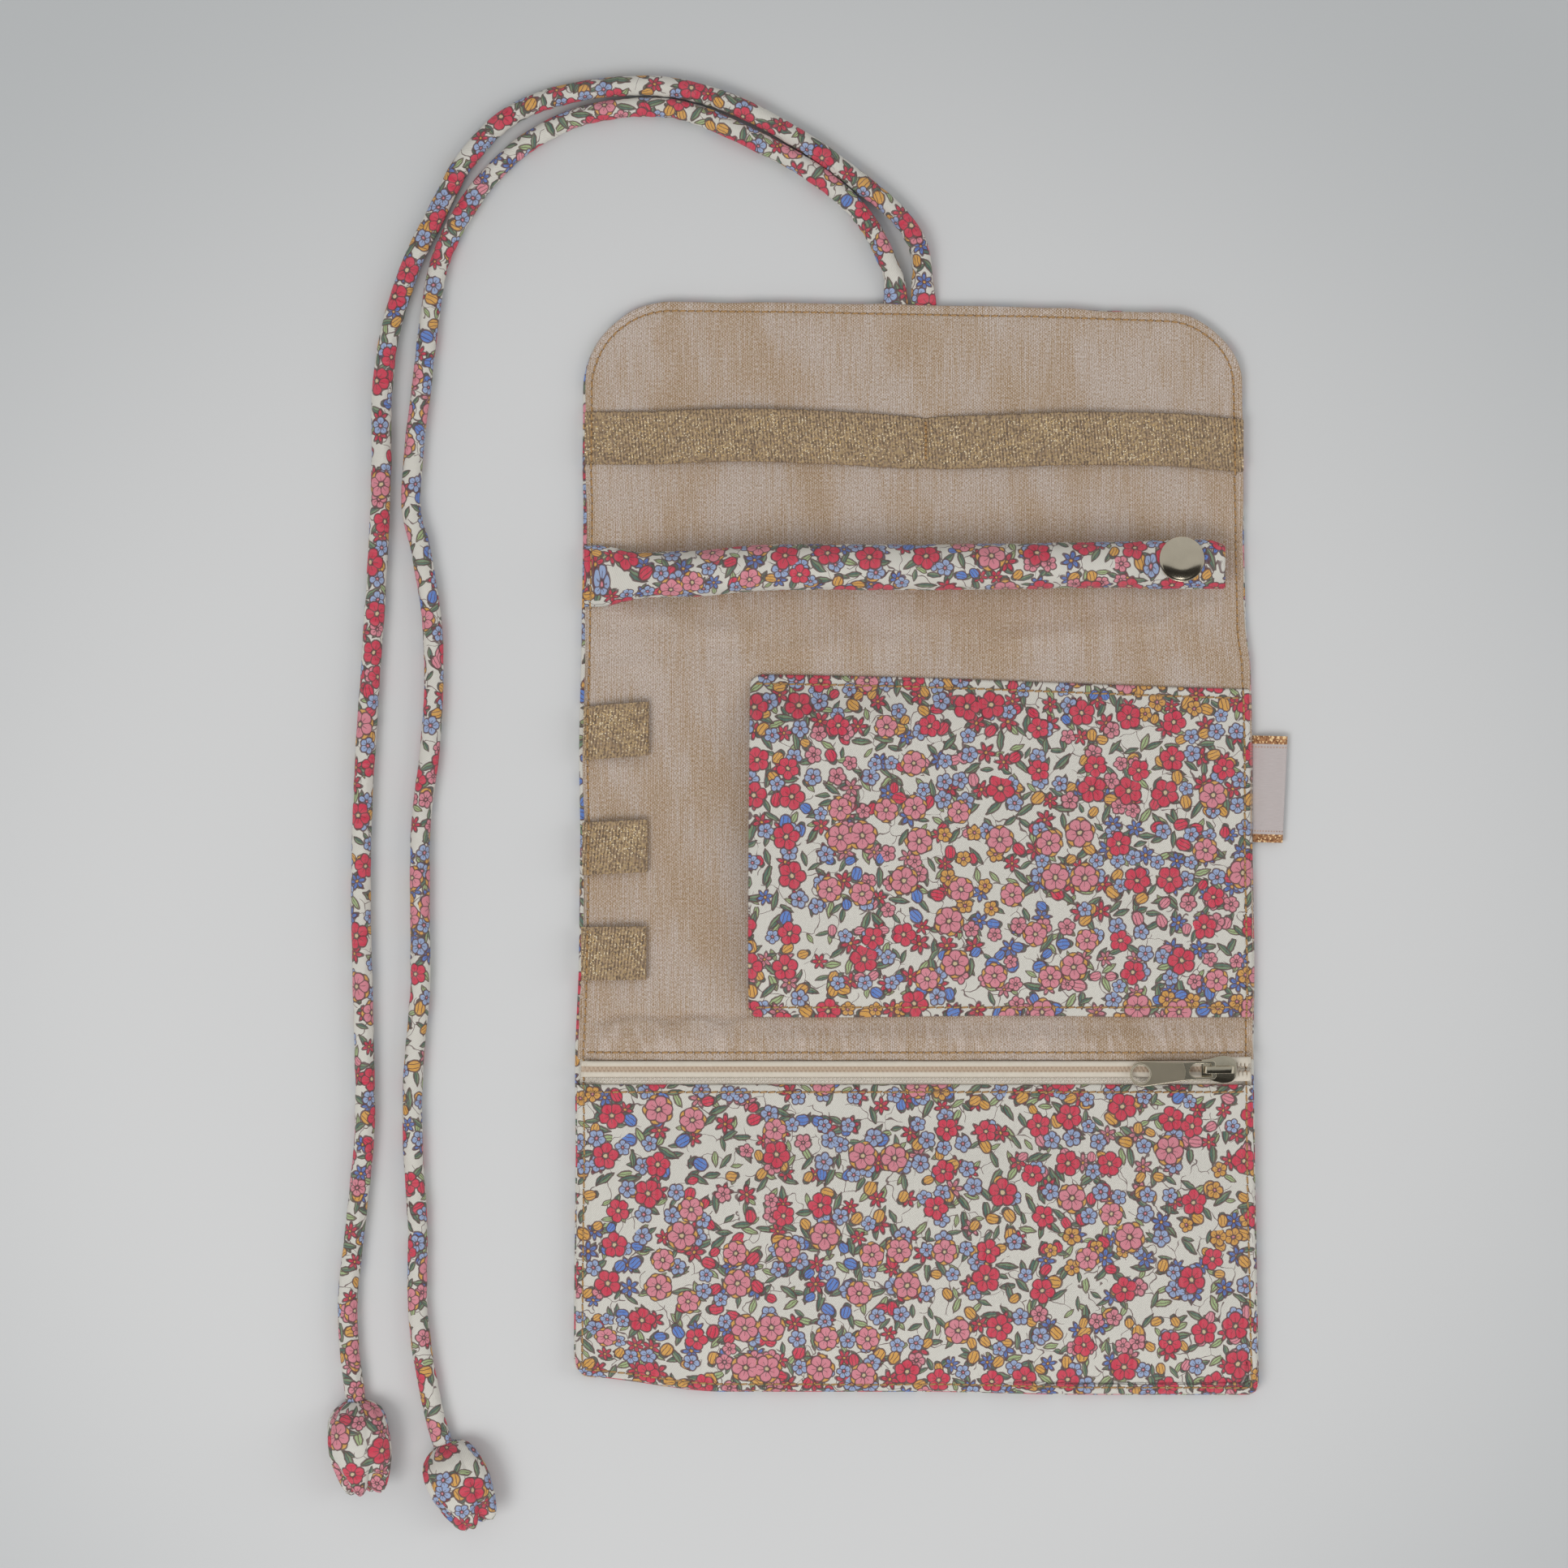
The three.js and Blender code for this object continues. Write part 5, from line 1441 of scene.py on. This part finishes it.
def loop_path(x, reach, low, high, radius):
    """Out along the bottom, round the fold and back along the top"""
    way = math.copysign(1, reach)
    turn = np.linspace(-math.pi / 2, math.pi / 2, 14)
    middle = (low + high) / 2
    fold = x + reach - way * radius
    run = fold - x
    out = [(x + run * t, low + 0.15 * math.sin(math.pi * t)) for t in np.linspace(0, 0.96, 12)]
    bow = [(fold + way * radius * math.cos(a), middle + radius * math.sin(a)) for a in turn]
    back = [
        (fold - run * t, mix(high, high - 0.8, float(ease((t - 0.55) / 0.45))) + 0.2 * math.sin(math.pi * t))
        for t in np.linspace(0.04, 1, 14)]
    return out + bow + back


def add_loops():
    for i in (1, 2, 3):
        low, high = box(f"earring_loop_{i}")
        y, width = (low[1] + high[1]) / 2, high[1] - low[1]
        start = -half_width(y) + 0.9
        path = loop_path(start, high[0] - start, low[2] + 0.3, high[2] - 0.35, LOOP_FOLD_RADIUS)
        slant = LOOP_SLANTS[i - 1]
        loop = folded_ribbon(
            f"earring_loop_ribbon_{i}", path, width - abs(slant) * 0.5, y, slant, LOOP_CLOTH, RIBBON,
            shift=7.3 * i)
        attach(loop, "middle")
        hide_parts(f"earring_loop_{i}")
        2 * (high[0] - start) * MM


LABEL_LOW, LABEL_HIGH = box("side_label")
LABEL_HALF = (LABEL_HIGH[1] - LABEL_LOW[1]) / 2
LABEL_GOLD = 2.4
LABEL_SLANT = -0.3
LABEL_TAPER = 0.13
LABEL_FOLD_RADIUS = 0.42


def add_label():
    y = (LABEL_LOW[1] + LABEL_HIGH[1]) / 2
    start = LABEL_LOW[0] - 0.9
    low, high = LABEL_LOW[2] + 0.12, LABEL_HIGH[2] + 0.1
    path = loop_path(start, LABEL_HIGH[0] - start, low, high, LABEL_FOLD_RADIUS)
    label = folded_ribbon(
        "side_label_satin", path, 2 * LABEL_HALF, y, LABEL_SLANT, LABEL_CLOTH, satin_label(),
        taper=LABEL_TAPER)
    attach(label, "middle")
    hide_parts("side_label")


# Ring roll
ROLL_Y = 80.1
ROLL_SEAM = -half_width(ROLL_Y) + 0.5
ROLL_END = box("ring_roll_cover")[1][0]
ROLL_RADIUS = 6.65
SEAM_HALF_WIDTH, SEAM_HALF_HEIGHT = 9.0, 0.8
SNAP_HALF_WIDTH, SNAP_HALF_HEIGHT = 7.2, 1.4
SNAP_RUN = 30
ROLL_BEND = (3.5, 12)
ROLL_LINE = [
    (-104, 79.6), (-98, 79.6), (-84.6, 79.6), (-72.7, 79.85), (-60.9, 80.3), (-49, 81.5),
    (-36, 82.0), (-4, 81.85), (24, 82.1), (45, 82.45), (59, 82.7), (89.5, 82.75), (96, 82.75),
]
ROLL_SIDES = 40


def add_roll():
    """The stuffed ring roll: flat where it is sewn in and where the snap holds it"""
    x = np.concatenate([
        np.linspace(ROLL_SEAM, ROLL_SEAM + 30, 40, endpoint=False),
        np.linspace(ROLL_SEAM + 30, ROLL_END - 32, 78),
        np.linspace(ROLL_END - 31, ROLL_END - 0.8, 36),
        ROLL_END - np.array([0.4, 0.12, 0.0]),
    ])
    from_seam = ease((x - ROLL_SEAM - 3.4) / 24)
    to_snap = ease((x - (ROLL_END - SNAP_RUN)) / 11)
    wide = mix(SEAM_HALF_WIDTH, ROLL_RADIUS, ease((x - ROLL_SEAM - 3.4) / 15))
    wide = mix(wide, SNAP_HALF_WIDTH, to_snap)
    high = mix(mix(SEAM_HALF_HEIGHT, ROLL_RADIUS - 0.25, from_seam), SNAP_HALF_HEIGHT, to_snap)
    snap_bottom = box("snap_socket")[1][2] + 0.3
    bottom = mix(3.35, snap_bottom, to_snap) - 0.9 * (1 - ease((x - ROLL_SEAM) / 4))
    end = np.sqrt(np.clip((ROLL_END - x) / 0.8, 0.02, 1))
    angle = TURN * steps(ROLL_SIDES)[None, :] - math.pi / 2
    square = mix(1.0, 0.62, np.maximum(to_snap, 1 - from_seam))[:, None]
    cosine = np.sign(np.cos(angle)) * np.abs(np.cos(angle)) ** square
    sine = np.sign(np.sin(angle)) * np.abs(np.sin(angle)) ** square
    dents = 0.2 * rough_noise(x[:, None] / 8, 2.5 * np.cos(angle) + 4, 91) * from_seam[:, None]
    gathers = (1 - ease((x - ROLL_SEAM - 6) / 22))[:, None] * ease((x - ROLL_SEAM - 3) / 4)[:, None]
    gathers = gathers * 0.22 * np.sin(7 * angle + 0.05 * x[:, None]) * np.clip(sine, 0, 1)
    tight = (to_snap * (1 - to_snap) * 4)[:, None] * 0.3 * np.sin(x[:, None] * 2.1 + 3 * np.cos(angle))
    grow = dents + gathers + tight
    corner = 1.5 * (1 - ease((ROLL_END - x) / 4.5))[:, None] * np.clip(cosine, 0, 1)
    line, _ = smooth_route(ROLL_LINE)
    y = np.interp(x, *line.T)[:, None] + (wide * mix(0.9, 1, end))[:, None] * cosine
    y = y + grow * np.cos(angle) - corner
    z = (bottom + high)[:, None] + (high * end)[:, None] * sine
    z = z + grow * np.sin(angle) * ease(high / 3)[:, None]
    rings = np.dstack([np.broadcast_to(x[:, None], y.shape), y, np.maximum(z, bottom[:, None] - 0.1)])
    around = steps(ROLL_SIDES)[None, :] * TURN * ROLL_RADIUS
    places = grid(x[:, None] + ROLL_CUT[0], around + ROLL_CUT[1])
    roll = make_piece("ring_roll_cloth", [(rings, places), end_cap(rings[-1], places[-1])])
    dress(roll, PRINT)
    start, stop = ((ROLL_SEAM + reach) * MM for reach in ROLL_BEND)
    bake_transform(roll)
    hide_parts("ring_roll_cover", "ring_roll_filling")


def add_snap():
    """Cap, socket and stud, turned finely, and the rivet given nickel. Each profile is pairs of radius and
    height.
    """
    low, high = box("snap_cap")
    x, y = (low[0] + high[0]) / 2, (low[1] + high[1]) / 2
    radius, top = (high[0] - low[0]) / 2, high[2]
    cap = [(radius * t, top - 0.86 * (max(t - 0.3, 0) / 0.63) ** 2) for t in np.linspace(0, 0.93, 20)]
    cap += [
        (radius - 0.32 + 0.32 * math.sin(a), top - 1.18 + 0.36 * math.cos(a))
        for a in np.linspace(0.6, 1.6, 6)]
    cap += [
        (radius - 0.1, top - 1.4), (radius - 0.5, top - 1.45), (1.4, top - 1.4), (1.4, low[2]), (0, low[2])]
    low, high = box("snap_socket")
    r, base, roof = (high[0] - low[0]) / 2, low[2], high[2]
    socket = [
        (0, roof - 0.6), (2.2, roof - 0.6), (2.2, base + 0.3), (2.4, base), (2.9, base + 0.05),
        (3.3, base + 0.5), (4.2, base + 0.55), (4.7, base + 0.1), (5.1, base + 0.08), (r, base + 0.5),
        (r, roof - 0.25), (r - 0.25, roof), (0, roof)]
    low, high = box("snap_stud")
    r, base, peak = (high[0] - low[0]) / 2, low[2], high[2]
    stud = [
        (0, base), (r - 0.1, base), (r, base + 0.12), (r, base + 0.45), (r - 0.2, base + 0.6),
        (2.6, base + 0.6), (1.7, base + 0.75), (1.5, base + 1.1), (1.5, peak - 1.3), (1.75, peak - 1.05),
        (1.9, peak - 0.75), (1.8, peak - 0.35), (1.45, peak - 0.08), (1.1, peak), (0.7, peak - 0.1),
        (0, peak - 0.25)]
    for name, profile, material, body in (
        ("snap_cap", cap, CAP_METAL, "ring_roll"),
        ("snap_socket", socket, NICKEL, "ring_roll"),
        ("snap_stud", stud, NICKEL, "flap"),
    ):
        part = dress(lathe(name + "_metal", profile, x, y), material)
        sharpen(part, 48)
        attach(part, body)
        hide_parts(name)
    rivet = frame["nodes"]["snap_stud_rivet"]
    rivet.data.materials.clear()
    rivet.data.materials.append(NICKEL)


# Zip
COIL_PITCH = 1.25
COIL_HALF = 2.25
HEAD_REACH = 0.62
CORE_FROM_MIDDLE = 1.38
CORE_HALF_WIDTH = 0.96
CORE_HALF_HEIGHT = 0.62
TAPE_TOP = 2.9
TEETH_Z = box("zip_teeth_upper")[0][2]
SLIDER_X = box("zip_slider")[0][0]
ROW_SPREAD = 1.2


def row_shift(x):
    return ROW_SPREAD * ease((x - SLIDER_X - 3) / 3.2)


def tube_rings(line, radius, sides=8):
    """Rings along a line of points that lie in a plane of constant X"""
    way = np.gradient(line, axis=0)
    way /= np.linalg.norm(way, axis=1)[:, None]
    angle = TURN * steps(sides)
    out = np.cross(way, [1.0, 0, 0])
    sine, cosine = np.sin(angle)[None, :, None], np.cos(angle)[None, :, None]
    ring = out[:, None, :] * sine * 0.8 + np.array([1.0, 0, 0]) * cosine
    return line[:, None, :] + ring * radius[:, None, None]


def add_teeth():
    """Nylon loops over each row's core, from the tape over the top to the middle, where their heads mesh"""
    end = half_width(ZIP_Y) - 1.3
    share = steps(10)
    rise = np.sin(np.pi * np.clip(0.1 + 0.78 * share, 0, 1)) ** 0.55
    thick = np.interp(share, [0, 0.2, 0.75, 0.92, 1], [0.36, 0.52, 0.5, 0.46, 0.3])
    for side, name in ((1, "upper"), (-1, "lower")):
        offset = 0 if side > 0 else COIL_PITCH / 2
        patches = []
        for x in np.arange(-end + 0.6 + offset, end - 0.5, COIL_PITCH):
            top = TEETH_Z + mix(0.3, 1.12, ease((end + 1.3 - abs(x)) / 5))
            across = mix(COIL_HALF, -HEAD_REACH, share) + row_shift(x)
            line = np.column_stack([x + 0 * share, ZIP_Y + side * across, mix(TEETH_Z + 0.1, top, rise)])
            rings = tube_rings(line, thick)
            patches += closed_tube(rings, placed(rings))
        x = np.linspace(-end, end, 150)[:, None]
        around = TURN * steps(14)[None, :]
        shift = row_shift(x)
        height = CORE_HALF_HEIGHT * ease((end + 1.3 - np.abs(x)) / 5)
        core = grid(
            x, ZIP_Y + side * (CORE_FROM_MIDDLE + shift + CORE_HALF_WIDTH * np.cos(around)),
            TEETH_Z + 0.3 + height + height * np.sin(around))
        patches += closed_tube(core, placed(core))
        row = dress(make_piece(f"zip_coil_{name}", patches), NYLON)
        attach(row, "pocket")
        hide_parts(f"zip_teeth_{name}")


def add_tapes():
    """The tapes' inner edges meet under the coil"""
    end = half_width(ZIP_Y) - 1.0
    for side, name in ((1, "upper"), (-1, "lower")):
        low, high = box(f"zip_tape_{name}")
        inner, outer = ZIP_Y + side * 0.14, (high if side > 0 else low)[1]
        x = mix(-end, end, steps(130))[None, :]
        v = mix(inner, outer, close_ends(12))[:, None]
        press = ease((end - 0.6 - np.abs(x)) / 7)
        bulge = 0.2 * bell(np.abs(v - ZIP_Y) - 2.7, 0.5)
        z = mix(TAPE_TOP, high[2], press) + bulge * press + 0.05 * rough_noise(x / 6, v, 95)
        points = grid(x, v, z)
        tape = dress(slab(f"zip_tape_{name}_cloth", points, placed(points), TAPE_CLOTH), TAPE)
        if side > 0:
            bend(tape, LOWER_BEND)
        else:
            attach(tape, "pocket")
        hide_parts(f"zip_tape_{name}")


def refined(node, material, bevel, body):
    """A rigid piece with its edges rounded, made from the solid's own shape"""
    made = bmesh.new()
    made.from_mesh(frame["nodes"][node].data)
    bmesh.ops.remove_doubles(made, verts=made.verts, dist=2e-6)
    bmesh.ops.dissolve_limit(made, angle_limit=math.radians(1), verts=made.verts, edges=made.edges)
    data = bpy.data.meshes.new(node + "_metal")
    made.to_mesh(data)
    made.free()
    piece = add_object(node + "_metal", data)
    data.shade_smooth()
    edge = piece.modifiers.new("edge", "BEVEL")
    edge.width = bevel * MM
    edge.segments = 3
    edge.limit_method = "ANGLE"
    edge.angle_limit = math.radians(32)
    edge.harden_normals = True
    sharpen(piece, 40)
    dress(piece, material)
    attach(piece, body)
    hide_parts(node)
    return piece


# The pull: a polished plate, a matt panel on its head and a ring round its hole
PULL_LENGTH = 24.4
PULL_THICKNESS = 1.0
PULL_DROOP = math.radians(-3)
PULL_END = 0.7
NECK_HALF = 2.7
NECK_LENGTH = 8.0
HEAD_HALF = 3.8
HOLE_RADIUS = 2.6
HOLE_FROM_END = 3.2
EYE_HALF = 1.9
EYE_REACH = 6.9
PULL_BEVEL = 0.24
PANEL_LIFT = 0.12


def arc(x, radius, start, stop, count=28):
    angle = np.linspace(start, stop, count)
    return [(x + radius * math.cos(a), radius * math.sin(a)) for a in angle]


def plate(name, outlines, bottom, top, bevel, turn, material, filled=True):
    """A flat piece from closed outlines, the first its rim and the others its holes, with rounded edges"""
    curve = bpy.data.curves.new(name, "CURVE")
    curve.dimensions = "2D" if filled else "3D"
    curve.fill_mode = "BOTH" if filled else "FULL"
    curve.extrude = (top - bottom) / 2 - bevel if filled else 0
    curve.bevel_depth = bevel
    curve.bevel_resolution = 3
    curve.offset = -bevel if filled else 0
    for outline in outlines:
        spline = curve.splines.new("POLY")
        spline.points.add(len(outline) - 1)
        for point, (x, y) in zip(spline.points, outline):
            point.co = (x, y, 0, 1)
        spline.use_cyclic_u = True
    drawn = add_object(name + "_outline", curve)
    data = bpy.data.meshes.new_from_object(drawn.evaluated_get(bpy.context.evaluated_depsgraph_get()))
    bpy.data.objects.remove(drawn)
    data.transform(turn @ Matrix.Translation((0, 0, (bottom + top) / 2)))
    data.shade_smooth()
    piece = add_object(name, data)
    sharpen(piece, 35)
    dress(piece, material)
    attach(piece, "pull")
    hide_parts("zip_pull")
    return piece


def add_pull():
    hinge = next(j for j in frame["joints"] if j["name"] == "pull_swing")
    yaw = math.atan2(hinge["axis"][0], -hinge["axis"][1])
    turn = Matrix.Translation(hinge["pos_m"]) @ Matrix.Rotation(yaw, 4, "Z")
    turn = turn @ Matrix.Rotation(PULL_DROOP, 4, "Y") @ Matrix.Scale(MM, 4)
    right, half = math.pi / 2, PULL_THICKNESS / 2
    head = HEAD_HALF - PULL_LENGTH
    hole = HOLE_FROM_END - PULL_LENGTH
    rim = [
        (PULL_END, -NECK_HALF + 0.6), (PULL_END, NECK_HALF - 0.6), (PULL_END - 0.6, NECK_HALF),
        (-NECK_LENGTH, NECK_HALF), *arc(head, HEAD_HALF, right, 3 * right),
        (-NECK_LENGTH, -NECK_HALF), (PULL_END - 0.6, -NECK_HALF)]
    eye = [
        (-PULL_END, -EYE_HALF), (-PULL_END, EYE_HALF),
        *arc(EYE_HALF - EYE_REACH, EYE_HALF, right, 3 * right)]
    around = arc(hole, HOLE_RADIUS, 0, 4 * right - 0.1, 60)
    plate("zip_pull_plate", [rim, around, eye], -half, half, PULL_BEVEL, turn, NICKEL)
    inset = PULL_BEVEL + 0.04
    neck = NECK_LENGTH + 0.7
    field = arc(head, HEAD_HALF - inset, right, 3 * right)
    field += [
        (-neck, inset - NECK_HALF), (0.4 - neck, -1.2), (0.55 - neck, 0), (0.4 - neck, 1.2),
        (-neck, NECK_HALF - inset)]
    around = arc(hole, HOLE_RADIUS + 0.2, 0, 4 * right - 0.1, 60)
    plate("zip_pull_panel", [field, around], half - 0.1, half + PANEL_LIFT, 0.06, turn, PULL_METAL)
    plate("zip_pull_ring", [around], half - 0.2, half + 0.2, 0.26, turn, NICKEL, filled=False)


# One stitch's rings: where they stand in its pitch, how high they lie and how thick they are
STITCH_AT = np.array([-0.47, -0.36, -0.15, 0.15, 0.36, 0.47])
STITCH_RISE = np.array([-0.03, 0.04, 0.12, 0.12, 0.04, -0.03])
STITCH_THICKNESS = np.array([0.75, 1, 1, 1, 1, 0.75])
STITCH_LEAN = 0.13
STITCH_WANDER = 0.25
FACING_STITCH_INSET = 2.1
FRONT_STITCH_INSET = 1.9
TACK_PITCH = 1.25
TACK_RADIUS = 0.34
SEWN_CLOTHS = (
    "lining_upper", "lining_lower", "patch_pocket_cloth", "earring_band_ribbon", "ring_roll_cloth",
    "earring_loop_ribbon_1", "earring_loop_ribbon_2", "earring_loop_ribbon_3", "pocket_front_cloth",
    "zip_tape_upper_cloth", "zip_tape_lower_cloth",
)


def stitch_patches(line, tops, pitch, radius):
    """Short runs of thread along a line of x and y, each laid on the surface below it"""
    line = np.array(line, float)
    length = distances(line)
    patches = []
    angle = TURN * steps(6)
    for k in range(int(length[-1] / pitch)):
        at = (k + 0.5) * pitch + STITCH_AT * pitch
        spots = np.stack(sampled(at, length, line), axis=-1)
        way = unit(spots[-1] - spots[0])
        heights = [top_of(tops, *spot) for spot in (spots[0], spots[2], spots[-1])]
        if None in heights:
            continue
        z = np.interp(at, at[[0, 2, 5]], heights) + STITCH_RISE
        thick = radius * STITCH_THICKNESS
        side = np.array([-way[1], way[0], 0])
        spots = spots + side[None, :2] * np.linspace(-STITCH_LEAN, STITCH_LEAN, len(at))[:, None]
        ring = side[None, :] * np.cos(angle)[:, None] + np.array([0, 0, 0.8]) * np.sin(angle)[:, None]
        rings = np.column_stack([spots, z])[:, None, :] + ring[None] * thick[:, None, None]
        share = (at - at[0]) / (at[-1] - at[0])
        patches += closed_tube(rings, grid(share[:, None], angle[None, :]))
    return patches


def top_of(trees, x, y):
    """Height of the highest cloth at a place"""
    best = None
    for tree in trees:
        hit = tree.ray_cast(Vector((x * MM, y * MM, 0.1)), Vector((0, 0, -1)))[0]
        if hit is not None and (best is None or hit.z / MM > best):
            best = hit.z / MM
    return best


def surfaces(*names):
    graph = bpy.context.evaluated_depsgraph_get()
    return [BVHTree.FromObject(bpy.data.objects[name], graph) for name in names]


def inset_line(corners):
    """The line of a topstitch, which wanders a little"""
    run = outline_run(corners)
    count = int(run[2][-1])
    points, normals = along(run, 0, run[2][-1], count)
    drift = STITCH_WANDER * soft_noise(np.arange(count + 1) / 23, 0.5, 101)
    return as_sewn(points - normals * (STITCH_INSET + drift)[:, None])


def straight(x, y):
    """A row of places over the given x, all at one y or each at its own"""
    return np.column_stack(np.broadcast_arrays(x, y))


def add_stitches():
    """Rows of thread: each one's name, its line, the cloths it lies on, and its body or fold"""
    trees = surfaces(*SEWN_CLOTHS)
    patch, facing, front, band = ([trees[SEWN_CLOTHS.index(name)]] for name in (
        "patch_pocket_cloth", "lining_lower", "pocket_front_cloth", "earring_band_ribbon"))
    across = np.linspace(PATCH_LEFT + 2, half_width(0) - 3, 90)
    zip_x = np.linspace(-half_width(ZIP_Y) + 3, half_width(ZIP_Y) - 3, 120)
    low, high = box("band_tack")
    tack_x = np.full(12, (low[0] + high[0]) / 2)
    for name, line, cloths, ride in (
        ("topstitch_upper", inset_line(upper_corners(CUT, TOP)), trees, UPPER_BEND),
        ("topstitch_lower", inset_line(lower_corners(CUT, BASE)), trees, LOWER_BEND),
        ("patch_stitch_top", straight(across, patch_top_edge(across) - STITCH_INSET), patch, UPPER_BEND),
        ("patch_stitch_bottom", straight(across, PATCH_LOW + STITCH_INSET), patch, "middle"),
        ("zip_stitch_upper", straight(zip_x, FACING_EDGE + FACING_STITCH_INSET), facing, "pocket"),
        ("zip_stitch_lower", straight(zip_x, FRONT_EDGE - FRONT_STITCH_INSET), front, "pocket"),
        ("band_tack_thread", straight(tack_x, np.linspace(low[1], high[1], 12)), band, "flap"),
    ):
        tack = name == "band_tack_thread"
        sizes = (TACK_PITCH, TACK_RADIUS) if tack else (STITCH_PITCH, THREAD_RADIUS)
        thread = dress(make_piece(name, stitch_patches(line, cloths, *sizes)), THREAD)
        if isinstance(ride, str):
            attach(thread, ride)
        else:
            bend(thread, ride)
        if tack:
            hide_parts("band_tack")


PRINT = print_cloth()
LINING = lining_cloth()
RIBBON = glitter_ribbon()
NICKEL = brushed_nickel("polished_nickel", paint(212, 203, 182), 0.17)
CAP_METAL = brushed_nickel("cap_nickel", paint(229, 217, 195), 0.16, 0.2)
PULL_METAL = brushed_nickel("matt_nickel", paint(224, 211, 186), 0.34, 0.6)
TAPE = zip_tape()
NYLON = nylon()
THREAD = sewing_thread()

add_camera()
add_world()
for lamp in LAMPS:
    add_lamp(*lamp)
add_floor()
add_card()
tips = [add_tip(f"tulip_tip_{side}", route, seed, *tip) for side, route, seed, _, tip in CORDS]
for (side, route, seed, cut, _), tip in zip(CORDS, tips):
    add_cord(f"tie_cord_{side}", route, seed, cut)
add_panels()
add_front()
add_patch()
add_band()
add_loops()
add_label()
add_roll()
add_snap()
add_teeth()
add_tapes()
refined("zip_slider", NICKEL, 0.18, "slider")
add_pull()
add_stitches()

bpy.context.scene.view_settings.view_transform = "Standard"
